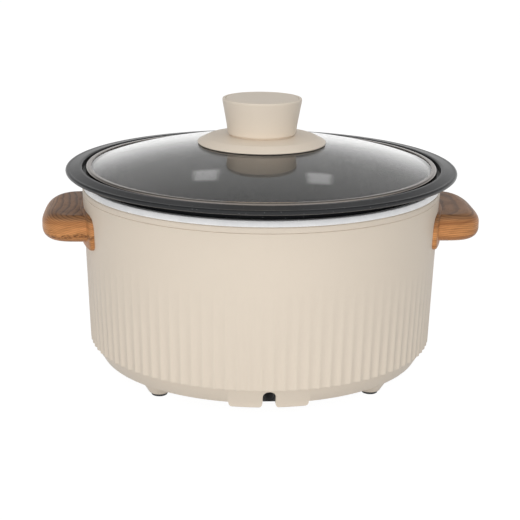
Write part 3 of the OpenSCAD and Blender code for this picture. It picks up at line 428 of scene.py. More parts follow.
def make_finishes():
    """Every finish, by a short name."""
    return {
        "cream": cream_plastic(),
        "knob": cream_plastic("knob_plastic", 0.43, 0.00003),
        "dial": cream_plastic("dial_plastic", 0.41, 0.00002),
        "liner": well_metal(),
        "rim": spun_metal("lid_rim_steel", bpy.context.scene.cooker_colours.steel, 0.20, 1800,
            0.000006),
        "plate": spun_metal("cast_plate", srgb(196, 197, 198), 0.38, 1400, 0.00004, 0.1),
        "steel": plain_metal("zinc_steel", srgb(196, 197, 200), 0.32),
        "brass": plain_metal("brass", srgb(214, 176, 98), 0.30),
        "spring": plain_metal("spring_steel", srgb(176, 177, 180), 0.28, 900),
        "element": plain_metal("element_tube", srgb(120, 112, 104), 0.46),
        "sheet": plain_metal("shield_sheet", srgb(190, 190, 188), 0.40, 160),
        "pot": pot_coating(),
        "glass": clear_glass(),
        "wood": handle_wood(),
        "silicone": moulded("dark_silicone", srgb(48, 48, 50), 0.55, 0.00002, 700, 0.1),
        "rubber": moulded("black_rubber", srgb(24, 24, 25), 0.62, 0.00006, 900, 0.15),
        "panel": moulded("charcoal_plastic", srgb(58, 58, 60), 0.42),
        "black": moulded("black_plastic", srgb(34, 34, 36), 0.48),
        "white_mark": moulded("mark_ink", srgb(226, 222, 212), 0.5, 0.00001),
        "dark_mark": moulded("dark_ink", srgb(60, 56, 52), 0.5, 0.00001),
        "nylon": moulded("natural_nylon", srgb(226, 222, 210), 0.45),
        "ceramic": moulded("fuse_ceramic", srgb(222, 214, 198), 0.25),
        "lead": moulded("lead_insulation", srgb(176, 52, 38), 0.5, 0.00003, 1500, 0.1),
        "amber": amber_lens(),
    }


# Mesh tools

def arc(x, y, r, start, sweep, steps):
    """Points of an arc round a middle, from a start over a sweep in degrees."""
    return [(x + r * math.cos(a), y + r * math.sin(a))
        for a in [math.radians(start + sweep * k / steps) for k in range(steps + 1)]]


def rounded(corners, steps):
    """An outline of (r, z) or (r, z, radius) corners as points, each radius made an arc."""
    out = []
    for i, (r, z, *radius) in enumerate(corners):
        p = Vector((r, z))
        a, b = Vector(corners[i - 1][:2]) - p, Vector(corners[(i + 1) % len(corners)][:2]) - p
        limit = 0.48 * min(a.length, b.length)
        angle = a.angle(b, math.pi)
        if not radius or radius[0] <= 0 or angle > math.radians(176):
            out.append((r, z))
            continue
        a.normalize()
        b.normalize()
        reach = min(radius[0] / math.tan(angle / 2), limit)
        radius = reach * math.tan(angle / 2)
        middle = p + (a + b).normalized() * (radius / math.sin(angle / 2))
        start = math.atan2(*reversed(p + a * reach - middle))
        end = math.atan2(*reversed(p + b * reach - middle))
        turn = (end - start + math.pi) % (2 * math.pi) - math.pi
        out += arc(*middle, radius, math.degrees(start), math.degrees(turn), steps)
    return out


def linked(name, mesh, sharp=32):
    """A new object of a mesh, smooth apart from corners sharper than an angle in degrees."""
    mesh.name = name
    mesh.shade_smooth()
    mesh.set_sharp_from_angle(angle=math.radians(sharp))
    piece = bpy.data.objects.new(name, mesh)
    bpy.context.scene.collection.objects.link(piece)
    return piece


def used_up(piece):
    """Deletes a piece, with its mesh, once another has taken it up."""
    data = piece.data
    bpy.data.objects.remove(piece)
    bpy.data.batch_remove([data])


def solid(name, verts, faces, sharp=32):
    """A closed mesh in millimetres with its faces outwards."""
    mesh = bpy.data.meshes.new(name)
    mesh.from_pydata([(x * MM, y * MM, z * MM) for x, y, z in verts], [], faces)
    work = bmesh.new()
    work.from_mesh(mesh)
    bmesh.ops.remove_doubles(work, verts=work.verts, dist=1e-6)
    bmesh.ops.dissolve_degenerate(work, edges=work.edges, dist=1e-7)
    bmesh.ops.recalc_face_normals(work, faces=work.faces)
    work.to_mesh(mesh)
    work.free()
    return linked(name, mesh, sharp)


def skin(rings):
    """The faces between each ring of vertex numbers and the next; a ring may be one point."""
    faces = []
    for one, two in zip(rings, rings[1:]):
        n, m = len(one), len(two)
        faces += [tuple(dict.fromkeys((one[j % n], one[(j + 1) % n], two[(j + 1) % m], two[j % m])))
            for j in range(max(n, m)) if n + m > 2]
    return faces


def turned(name, corners, segments=48, steps=4, sharp=32):
    """A solid turned round the vertical axis from a closed outline of corners."""
    verts, rings = [], []
    for r, z in rounded(corners, steps):
        count = segments if r > 1e-6 else 1
        rings.append(range(len(verts), len(verts) + count))
        verts += [(r * math.cos(a), r * math.sin(a), z)
            for a in [2 * math.pi * j / segments for j in range(count)]]
    return solid(name, verts, skin(rings + rings[:1]), sharp)


def prism(name, outline, low, high, bevel=0.0):
    """An outline of (x, y) points drawn up from low to high, with its two ends chamfered."""
    n = len(outline)
    middle = Vector((sum(p[0] for p in outline) / n, sum(p[1] for p in outline) / n))
    levels = [(bevel, low), (0, low + bevel), (0, high - bevel), (bevel, high)]
    verts = []
    for inset, z in levels if bevel else levels[::3]:
        for point in map(Vector, outline):
            verts.append((*(point - (point - middle).normalized() * inset), z))
    rings = [range(k, k + n) for k in range(0, len(verts), n)]
    return solid(name, verts, [tuple(rings[0]), tuple(rings[-1])] + skin(rings))


def box_mesh(name, low, high):
    (a, b, c), (d, e, f) = low, high
    return prism(name, [(a, b), (d, b), (d, e), (a, e)], c, f)


def placed(piece, at=(0, 0, 0), turn=0.0, axis="X"):
    """The mesh of a piece turned and put in its place; the object stays at the origin."""
    piece.data.transform(Matrix.Translation([c * MM for c in at]) @ Matrix.Rotation(turn, 4, axis))
    return piece


def faced(piece, z, tip=-math.pi / 2):
    """An upright piece tipped over to the far side, its axis at a height."""
    return placed(piece, (0, 0, z), tip)


def plain(piece, name=None, sharp=32):
    """The piece as its modifiers leave it, as a plain mesh in a new object."""
    graph = bpy.context.evaluated_depsgraph_get()
    mesh = bpy.data.meshes.new_from_object(piece.evaluated_get(graph), depsgraph=graph)
    name = name or piece.name
    used_up(piece)
    return linked(name, mesh, sharp)


def combined(piece, others, operation="DIFFERENCE", sharp=32):
    """A piece cut by, or joined with, other closed meshes, which are used up."""
    for other in others:
        cut = piece.modifiers.new("cut", "BOOLEAN")
        cut.operation, cut.solver, cut.object = operation, "EXACT", other
    made = plain(piece, sharp=sharp)
    for other in others:
        used_up(other)
    return made


def joined(name, pieces, sharp=32):
    """Several separate meshes as one object."""
    work = bmesh.new()
    for piece in pieces:
        work.from_mesh(piece.data)
        used_up(piece)
    mesh = bpy.data.meshes.new(name)
    work.to_mesh(mesh)
    work.free()
    return linked(name, mesh, sharp)


def dressed(piece, finish, body, slot, *nodes):
    """Gives a piece its finish and its body, and lets it stand for its solids."""
    piece.data.materials.clear()
    piece.data.materials.append(FINISHES[finish])
    for face in piece.data.polygons:
        face.material_index = 0
    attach(piece, body)
    if nodes:
        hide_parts(*nodes)
    return piece


def by_tree(piece, name, finish, inputs, build):
    """The plain mesh that a geometry tree makes of a piece.

    Each input has a kind and a value. build gets the graph and the inputs as values, and
    returns the geometry."""
    tree = bpy.data.node_groups.new(name, "GeometryNodeTree")
    sockets = {"Geometry": ("Geometry", None), **inputs}
    for label, (kind, _) in sockets.items():
        tree.interface.new_socket(name=label, in_out="INPUT", socket_type="NodeSocket" + kind)
    tree.interface.new_socket(name="Geometry", in_out="OUTPUT", socket_type="NodeSocketGeometry")
    g = Graph(tree)
    start, end = tree.nodes.new("NodeGroupInput"), tree.nodes.new("NodeGroupOutput")
    made = build(g, {socket.name: Value(g, socket) for socket in start.outputs if socket.name})
    real = g.node("GeometryNodeRealizeInstances", {0: made})
    g.feed(end.inputs[0], g.node("GeometryNodeSetMaterial",
        {"Geometry": real, "Material": FINISHES[finish]}))
    modifier = piece.modifiers.new(name, "NODES")
    modifier.node_group = tree
    for item in tree.interface.items_tree:
        if item.in_out == "INPUT" and item.name in inputs:
            modifier[item.identifier] = inputs[item.name][1]
    return plain(piece, name)


def copies_on_circle(name, piece, count, radius, turn, finish, sweep=2 * math.pi):
    """Copies of a piece spaced round the vertical axis, each turned to face outwards."""
    def build(g, v):
        angle = v["Turn"] + g.node("GeometryNodeInputIndex") * v["Sweep"] / v["Count"]
        points = g.node("GeometryNodePoints", {"Count": v["Count"],
            "Position": g.vector(v["Radius"] * angle.cos(), v["Radius"] * angle.sin(), 0.0)})
        return g.node("GeometryNodeInstanceOnPoints", {"Points": points,
            "Instance": v["Geometry"], "Rotation": g.vector(0.0, 0.0, angle)})
    return by_tree(piece, name, finish, {"Count": ("Int", count), "Radius": ("Float", radius * MM),
        "Turn": ("Float", turn), "Sweep": ("Float", sweep)}, build)


def pan_head(shank_l):
    """A pan-head screw that stands on the level 0, its shank pointing down."""
    r, h = SCREW_HEAD_R, SCREW_HEAD_H
    head = turned("screw", [(0, -shank_l), (SCREW_R * 0.7, -shank_l), (SCREW_R, -shank_l + 1),
        (SCREW_R, 0), (r, 0, 0.15), (r, h * 0.72, h * 0.6), (r * 0.55, h), (0, h)], 32)
    bars = [placed(box_mesh("bar", (-r * 0.58, -r * 0.11, h * 0.35), (r * 0.58, r * 0.11, h + 1)),
        turn=turn, axis="Z") for turn in (0, math.pi / 2)]
    return combined(head, bars)


# Pieces

class CookerShell(bpy.types.Operator):
    """Makes the tapered housing shell with its fading vertical flutes"""
    bl_idname = "cooker.shell"
    bl_label = "Housing shell"

    def execute(self, context):
        sizes = context.scene.cooker_sizes
        rows = 34
        rise = (sizes.flute_top / MM - SHELL_Z) / rows
        wall = [SHELL_Z + 1.2 + rise * k for k in range(rows)] + [SHELL_TOP_Z - 0.9]
        blank = turned("blank", [(shell_r(SHELL_Z) - WALL, SHELL_Z), (shell_r(SHELL_Z), SHELL_Z, 0.7)]
            + [(shell_r(z), z) for z in wall]
            + [(SHELL_TOP_R, SHELL_TOP_Z, 0.5), (SHELL_TOP_R - WALL, SHELL_TOP_Z)],
            sizes.flute_count * 12, 3)
        shell = by_tree(blank, "outer_shell_skin", "cream", {
            "Count": ("Int", sizes.flute_count), "Depth": ("Float", sizes.flute_depth),
            "Top": ("Float", sizes.flute_top), "Turn": ("Float", sizes.flute_turn)}, self.fluted)
        dressed(shell, "cream", "housing", "cream_plastic", "outer_shell")
        return {"FINISHED"}

    def fluted(self, g, v):
        """Draws the outer face in along soft grooves that are deepest at the foot."""
        x, y, z = g.xyz(g.node("GeometryNodeInputPosition"))
        r = (x * x + y * y).root()
        wall = SHELL_TOP_R * MM - (SHELL_TOP_Z * MM - z) * SHELL_SLOPE
        outer = (r - wall).ramp(-1.6 * MM, -0.9 * MM)
        angle = x.turn_from(-y) - v["Turn"]
        groove = (angle * v["Count"] * 0.5).sin().size() ** 1.25
        left = ((v["Top"] - z) / (v["Top"] - SHELL_Z * MM)).at_least(0.0).at_most(1.0)
        draw = outer * groove * v["Depth"] * left ** 1.1
        return g.node("GeometryNodeSetPosition", {"Geometry": v["Geometry"],
            "Offset": g.vector(-(x / r) * draw, -(y / r) * draw, 0.0)})


class CookerRims(bpy.types.Operator):
    """Makes the trim ring over the seam and the spun heating well with its sloping rim"""
    bl_idname = "cooker.rims"
    bl_label = "Trim ring and well"

    def execute(self, context):
        low, seam_z, seam_r = SHELL_TOP_Z - 6, SHELL_TOP_Z + 0.22, SHELL_TOP_R - 1.7
        clear, lap = 2.1, WALL + 0.1
        ring = turned("top_ring_trim", [(well_r(low) + clear, low), (shell_r(low) - lap, low, 0.4),
            (SHELL_TOP_R - lap, SHELL_TOP_Z), (seam_r, SHELL_TOP_Z), (seam_r, seam_z),
            (SHELL_TOP_R + 0.05, seam_z, 0.25), (SHELL_TOP_R + 0.2, RING_TOP_Z, 1.1),
            (LINER_IN_R + clear, RING_TOP_Z, 0.3), (LINER_IN_R + clear, SHELL_TOP_Z)], 256)
        dressed(ring, "cream", "housing", "cream_plastic", "top_ring")

        wall = [(well_r(z), z) for z in (LINER_LIP_Z - 2, 120, 90, 60)]
        floor_r, hole_r, t, edge = well_r(LINER_FLOOR_TOP), 18.0, 0.9, LINER_IN_R + 5.4
        well = turned("heating_well",
            [(hole_r, LINER_FLOOR_TOP - t), (floor_r + t, LINER_FLOOR_TOP - t, 7)]
            + [(r + t, z) for r, z in reversed(wall)]
            + [(LINER_IN_R + t, LINER_LIP_Z - 1.6, 0.5), (edge - 0.9, RING_TOP_Z + 0.15, 0.3),
               (edge - 0.2, RING_TOP_Z + 0.1, 0.2), (edge, RING_TOP_Z + 0.6, 0.3),
               (edge - 1.5, LINER_LIP_Z, 0.8), (LINER_IN_R + 0.3, LINER_LIP_Z, 0.7)]
            + wall + [(floor_r, LINER_FLOOR_TOP, 6), (hole_r, LINER_FLOOR_TOP)], 256, 5)
        dressed(well, "liner", "housing", "liner_aluminium", "liner")
        return {"FINISHED"}


class CookerHeater(bpy.types.Operator):
    """Makes the machined heating plate and the sensor button in its middle"""
    bl_idname = "cooker.heater"
    bl_label = "Heating plate"

    def execute(self, context):
        hole_r, half_w, depth, grooves = 17.5, 0.7, 0.5, []
        for r in (82, 69, 56, 43, 30):
            grooves += [(r + half_w, PLATE_TOP, 0.2), (r, PLATE_TOP - depth, 0.3),
                (r - half_w, PLATE_TOP, 0.2)]
        plate = turned("heating_plate_cast", [(hole_r, PLATE_Z), (PLATE_R, PLATE_Z, 1.0),
            (PLATE_R, PLATE_TOP, 1.2)] + grooves + [(hole_r, PLATE_TOP, 0.6)], 160, 3)
        dressed(plate, "plate", "housing", "cast_plate", "heating_plate")
        in_r, out_r, button_r, under = 10.6, 11.6, 16.5, PLATE_TOP - 1.5
        cap = turned("sensor_button", [(in_r, SENSOR_LOW_Z), (out_r, SENSOR_LOW_Z), (out_r, under),
            (button_r, under, 0.2), (button_r, PLATE_TOP, 0.5), (4, PLATE_TOP, 0.4),
            (3.4, PLATE_TOP - 0.3, 0.2), (0, PLATE_TOP - 0.3), (0, under), (in_r, under)], 96, 3)
        dressed(cap, "steel", "sensor", "sensor_metal", "sensor_cap")
        return {"FINISHED"}


class CookerPot(bpy.types.Operator):
    """Makes the dark lift-out pot with its ledge, riser and wide rolled flange"""
    bl_idname = "cooker.pot"
    bl_label = "Pot"

    def execute(self, context):
        wall_top, riser_out = LEDGE_Z - POT_T, RISER_R + POT_T
        thick = POT_T / math.cos(math.atan(POT_SLOPE))
        bead, fall, knee_z, groove_r = 1.7, 1.3, 90, FLANGE_R - 3.2
        low = FLANGE_Z - fall
        inner_floor_r = pot_r(POT_Z) - thick + 0.2
        pot = turned("pot_body", [(0, POT_Z), (pot_r(POT_Z), POT_Z, 12), (pot_r(knee_z), knee_z),
            (MOUTH_R, wall_top, 1.5), (riser_out, wall_top, 1.6), (riser_out, FLANGE_Z - 2, 1.2),
            (groove_r, low - 2, 0.8)]
            + arc(FLANGE_R - bead, low - bead, bead, -80, 160, 8)
            + [(groove_r, low - 0.15, 0.8), (RISER_R + 2.5, FLANGE_Z - 0.1, 2.0),
               (RISER_R, FLANGE_Z, 1.0), (RISER_R, LEDGE_Z, 0.8), (MOUTH_R - thick, LEDGE_Z, 1.0),
               (pot_r(knee_z) - thick, knee_z), (inner_floor_r, POT_Z + POT_T, 10),
               (0, POT_Z + POT_T)], 256, 7)
        dressed(pot, "pot", "pot", "nonstick_coating", "inner_pot")
        return {"FINISHED"}


class CookerLid(bpy.types.Operator):
    """Makes the domed glass and the folded steel band round it"""
    bl_idname = "cooker.lid"
    bl_label = "Glass lid"

    def execute(self, context):
        steps, top, glass_r = 34, GLASS_Z + GLASS_T, LID_R - 0.8
        radii = [LID_HOLE_R + (DOME_EDGE_R - 1.0 - LID_HOLE_R) * k / steps for k in range(steps + 1)]
        glass = turned("lid_glass_dome", [(r, dome_z(r, APEX_Z)) for r in radii]
            + [(DOME_EDGE_R + 0.6, top, 0.8), (glass_r, top, 0.5), (glass_r, GLASS_Z, 0.5),
               (DOME_EDGE_R + 0.2, GLASS_Z, 0.3)]
            + [(r, dome_z(r, APEX_Z - GLASS_T)) for r in reversed(radii)], 256, 3, 60)
        dressed(glass, "glass", "lid", "lid_glass", "lid_glass")

        lip, t, high = LID_R - 4.3, 0.7, LID_Z + LID_RIM_H
        band = turned("lid_rim_band", [(lip, LID_Z, 0.3), (LID_R, LID_Z, 1.0), (LID_R, high, 1.6),
            (lip, high, 0.35), (lip, high - t, 0.2), (LID_R - t, high - t, 0.6),
            (LID_R - t, LID_Z + t, 0.4), (lip, LID_Z + t, 0.2)], 256, 5)
        dressed(band, "rim", "lid", "rim_steel", "lid_rim")
        return {"FINISHED"}


class CookerKnob(bpy.types.Operator):
    """Makes the knob: its flared grip, the disc let into its top, and its wide thin brim"""
    bl_idname = "cooker.knob"
    bl_label = "Knob"

    def execute(self, context):
        foot_r, top_r, neck_r = KNOB_FOOT_R, KNOB_TOP_R, KNOB_FOOT_R - 2.3
        cap_r, seat_z = top_r - 2.9, KNOB_TOP_Z - 2.4
        pocket_r = cap_r + 0.28
        insert_r, screw_r, cup_z, post_z, post_r = 5.1, 2.55, GRIP_Z + 3, GRIP_Z + 14.1, 7.7
        grip = turned("knob_grip_body", [(insert_r, GRIP_Z), (foot_r - 1.2, GRIP_Z, 0.3),
            (foot_r, GRIP_Z + 1.25, 0.5), (foot_r + 0.9, GRIP_Z + 8, 12), (top_r, KNOB_TOP_Z - 2.0),
            (top_r + 0.05, KNOB_TOP_Z, 2.5), (pocket_r, KNOB_TOP_Z, 0.25), (pocket_r, seat_z),
            (cap_r - 1.6, seat_z), (foot_r - 2.6, cup_z, 1.5), (post_r, cup_z, 0.5),
            (post_r, post_z, 0.3), (screw_r, post_z), (screw_r, post_z - 2),
            (insert_r, post_z - 2)], 160, 6)
        cap = turned("knob_top_disc", [(0, seat_z), (cap_r, seat_z), (cap_r, KNOB_TOP_Z - 0.05, 0.3),
            (20, KNOB_TOP_Z - 0.2), (0, KNOB_TOP_Z - 0.3)], 160)
        hole_r, boss_r = 2.75, 14.0
        brim = turned("knob_brim_disc", [(hole_r, BRIM_Z), (boss_r, BRIM_Z, 0.3),
            (boss_r, BRIM_Z + 1.4, 0.6), (BRIM_R - 1.2, BRIM_LOW_Z), (BRIM_R, BRIM_LOW_Z, 0.4),
            (BRIM_R, BRIM_EDGE_Z, 0.55), (BRIM_R - 7.5, BRIM_EDGE_Z + 3.8, 6),
            (neck_r + 0.8, BRIM_EDGE_Z + 4.9, 1.5), (neck_r, GRIP_Z), (hole_r, GRIP_Z)], 192, 6)
        for piece, node in ((grip, "knob_grip"), (cap, "knob_cap"), (brim, "knob_brim")):
            dressed(piece, "knob", "lid", "cream_plastic", node)
        return {"FINISHED"}


class CookerBase(bpy.types.Operator):
    """Makes the base with its skirt, foot bosses, tabs, vents and cord notch, and what sits in it"""
    bl_idname = "cooker.base"
    bl_label = "Base"

    def execute(self, context):
        base = combined(self.skirt(), [self.by_feet("bosses", [(0, 2.2), (7.6, 2.2, 0.9),
            (13.6, FLOOR_Z + 0.6), (0, FLOOR_Z + 0.6)], 3), self.tab(-1), self.tab(1)], "UNION")
        slot = prism("slot", arc(VENT_HALF_L, 0, VENT_END_R, -90, 180, 8)
            + arc(-VENT_HALF_L, 0, VENT_END_R, 90, 180, 8), FLOOR_Z - 1, FLOOR_TOP + 1)
        vents = copies_on_circle("vents", slot, context.scene.cooker_sizes.vent_count,
            VENT_CIRCLE_R, 0.0, "cream")
        above = FLOOR_TOP + 1.5
        sockets = self.by_feet("sockets", [(0, 0), (SOCKET_R, 0), (SOCKET_R, PAD_TOP_Z),
            (SOCKET_STEM_R, PAD_TOP_Z), (SOCKET_STEM_R, above), (0, above)])
        hole_r, under = 2.0, FLOOR_Z - 2
        hole = turned("hole", [(0, under), (hole_r, under), (hole_r, above), (0, above)], 24)
        holes = copies_on_circle("holes", hole, 4, BASE_SCREW_CIRCLE_R, BASE_SCREW_TURN, "cream")
        notch = self.arch("notch", GLAND_R + 0.1, TAB_Z - 1, 116.2, 139.0)
        base = combined(base, [vents, sockets, holes, notch], sharp=34)
        dressed(base, "cream", "housing", "cream_plastic", "base_cover")

        dent_r, dent = 3.2, 0.35
        pads = self.by_feet("foot_pad_set", [(0, dent), (dent_r, dent, 0.3), (dent_r + 0.6, 0, 0.3),
            (PAD_R, 0, 0.9), (PAD_R, PAD_TOP_Z, 0.3), (PAD_STEM_R, PAD_TOP_Z),
            (PAD_STEM_R, FLOOR_TOP, 0.4), (0, FLOOR_TOP)])
        gland = self.gland()
        for piece, node in ((pads, "foot_pads"), (gland, "cord_gland")):
            dressed(piece, "rubber", "housing", "black_rubber", node)
        return {"FINISHED"}

    def skirt(self):
        step_r, lip_r, lip_top = 136.3, 134.1, 26.1
        return turned("base_skirt", [(0, FLOOR_Z), (FLOOR_R, FLOOR_Z, 0.5),
            (FLOOR_R + 0.3, SKIRT_LOW_Z, 0.3), (SKIRT_LOW_R, SKIRT_LOW_Z, 0.9),
            (SKIRT_TOP_R, SKIRT_TOP_Z, 0.2), (step_r, SKIRT_TOP_Z), (step_r, lip_top, 0.3),
            (lip_r, lip_top, 0.3), (lip_r, SKIRT_TOP_Z), (FLOOR_R, FLOOR_TOP, 0.6),
            (0, FLOOR_TOP)], 256)

    def by_feet(self, name, corners, steps=4):
        """One turned copy at each of the four feet."""
        return copies_on_circle(name, turned("foot", corners, steps=steps), 4, FOOT_CIRCLE_R,
            FOOT_TURN, "rubber")

    def arch(self, name, half_w, low, near, far, bevel=0.0):
        """An arched bar that points to the cord side, from near to far of the middle."""
        outline = [(-half_w, low), (half_w, low)] + arc(0, GLAND_Z, half_w, 0, 180, 20)
        return placed(prism(name, outline, near, far, bevel), turn=math.pi / 2)

    def tab(self, side):
        """A low rounded tab beside the notch."""
        band = turned("tab", [(FLOOR_R - 0.1, TAB_Z, 0.3), (130.0, TAB_Z, 0.8),
            (130.0, FLOOR_TOP, 0.5), (FLOOR_R - 0.1, FLOOR_TOP)], 256)
        r = TAB_ROUND
        outline = (arc(TAB_NEAR + r, TAB_Z + r, r, 180, 90, 6) + arc(TAB_FAR - r, TAB_Z + r, r, 270,
            90, 6) + [(TAB_FAR, 14), (TAB_NEAR, 14)])
        bar = prism("bar", [(x * side, z) for x, z in outline], 120, 135)
        return combined(band, [placed(bar, turn=math.pi / 2)], "INTERSECT")

    def gland(self):
        """The rubber plug that fills the notch, with its collar inside and a bore for a cord."""
        plug = self.arch("cord_gland_plug", GLAND_R, GLAND_Z - GLAND_R, -GLAND_Y - GLAND_L, -GLAND_Y,
            0.6)
        bore = placed(turned("bore", [(0, -1), (4.4, -1), (4.4, 0.1), (3.6, 0.9),
            (3.6, GLAND_L + 1), (0, GLAND_L + 1)]), (0, GLAND_Y, GLAND_Z), -math.pi / 2)
        collar = placed(turned("collar", [(4.2, 0, 0.2), (6.3, 0, 0.3), (6.3, 2, 0.3),
            (4.2, 2, 0.2)]), (0, GLAND_Y + 5, GLAND_Z), -math.pi / 2)
        below = box_mesh("below", (-8, -128, 8), (8, -122, FLOOR_TOP + 0.1))
        return combined(combined(plug, [combined(collar, [below])], "UNION"), [bore])


class CookerHandles(bpy.types.Operator):
    """Makes the two wooden carry handles: rounded slabs on root plates that follow the shell"""
    bl_idname = "cooker.handles"
    bl_label = "Handles"

    def execute(self, context):
        for name, side, node in (("handle_right_wood", 1, "right_handle"),
                ("handle_left_wood", -1, "left_handle")):
            wood = combined(self.slab(name), [self.root()], "UNION", 40)
            if side < 0:
                wood.data.transform(Matrix.Scale(-1, 4, (1, 0, 0)))
                wood.data.flip_normals()
            dressed(wood, "wood", "housing", "handle_wood", node)
        return {"FINISHED"}

    def levels(self, steps=10):
        """Heights over the slab, each with how far the tip and the sides are drawn in there."""
        low_r, top_r, tip_l, tip_h = 8.0, 5.0, 12.0, 9.5
        for k in range(steps + 1):
            a = math.pi / 2 * (1 - k / steps)
            drawn = low_r * (1 - math.cos(a))
            yield low_r * (1 - math.sin(a)), drawn, drawn
        for k in range(2 * steps + 1):
            a = math.pi / 4 * k / steps
            z = HANDLE_T - tip_h * (1 - math.sin(a))
            up = max(0.0, z - HANDLE_T + top_r)
            yield z, tip_l * (1 - math.cos(a)), top_r - math.sqrt(top_r ** 2 - up ** 2)

    def slab(self, name):
        """Rings of one outline, drawn in towards the rounded edges and the falling tip."""
        round_steps, flare_steps, skin_steps, power = 72, 8, 24, 2 / 3.5
        verts, rings = [], []
        at = shell_r(HANDLE_Z)
        for up, tip_in, side_in in self.levels():
            z = HANDLE_Z + up
            skin_r = shell_r(z) + 0.1
            half_w, out = HANDLE_HALF_W - side_in, HANDLE_OUT - tip_in
            wide = half_w + HANDLE_FLARE
            start = math.sqrt(skin_r ** 2 - wide ** 2)
            side = [(start + (at - 2 - start) * u, half_w + HANDLE_FLARE * (1 - u) ** 2, z)
                for u in [k / flare_steps for k in range(flare_steps)]]
            ring = [(x, -y, z) for x, y, z in side]
            for k in range(round_steps + 1):
                a = math.radians(-90 + 180 * k / round_steps)
                s = math.sin(a)
                ring.append((at + out * max(0.0, math.cos(a)) ** power,
                    half_w * math.copysign(abs(s) ** power, s), z))
            ring += side[::-1]
            ring += [(math.sqrt(skin_r ** 2 - y * y), y, z)
                for y in [wide * (1 - 2 * k / skin_steps) for k in range(1, skin_steps)]]
            rings.append(range(len(verts), len(verts) + len(ring)))
            verts += ring
        return solid(name, verts, [tuple(rings[0]), tuple(rings[-1])] + skin(rings), 40)

    def root(self):
        """The plate under the slab: a rounded outline wrapped on the shell."""
        low, high, half, low_r, high_r = ROOT_LOW_Z, ROOT_TOP_Z, ROOT_HALF_W, 5, 10
        verts, rings = [], []
        for inset, out in ((0, 0.1), (0, ROOT_T - 1.2), (0.35, ROOT_T - 0.35), (1.2, ROOT_T)):
            outline = []
            for y, z, r, start in ((half - low_r, low + low_r, low_r, -90),
                    (half - high_r, high - high_r, high_r, 0),
                    (-half + high_r, high - high_r, high_r, 90),
                    (-half + low_r, low + low_r, low_r, 180)):
                outline += arc(y, z, r - inset, start, 90, 6)
            ring = [(math.sqrt((shell_r(z) + out) ** 2 - y * y), y, z)
                for y, z in self.refined(outline)]
            rings.append(list(range(len(verts), len(verts) + len(ring))))
            verts += ring
        ends = self.strips(verts, rings[0]) + self.strips(verts, rings[-1])
        return solid("root", verts, skin(rings) + ends, 40)

    def refined(self, points):
        """Adds points along the long straight stretches of an outline."""
        out = []
        for (y, z), (y1, z1) in zip(points, points[1:] + points[:1]):
            count = max(1, int(math.hypot(y1 - y, z1 - z) / 4))
            out += [(y + (y1 - y) * k / count, z + (z1 - z) * k / count) for k in range(count)]
        return out

    def strips(self, verts, ring):
        """Closes one face of the plate with narrow strips from its lower to its upper edge."""
        left = ring.index(min(ring, key=lambda i: verts[i][1:]))
        right = max(ring, key=lambda i: (verts[i][1], -verts[i][2]))
        order = ring[left:] + ring[:left]
        cut = order.index(right)
        lower, upper = order[:cut + 1], [order[0]] + order[:cut - 1:-1]
        faces, i, j = [], 0, 0
        while i < len(lower) - 1 or j < len(upper) - 1:
            a = verts[lower[i + 1]][1] if i < len(lower) - 1 else math.inf
            b = verts[upper[j + 1]][1] if j < len(upper) - 1 else math.inf
            if a <= b:
                face, i = (lower[i], lower[i + 1], upper[j]), i + 1
            else:
                face, j = (lower[i], upper[j + 1], upper[j]), j + 1
            if len(set(face)) == 3:
                faces.append(face)
        return faces


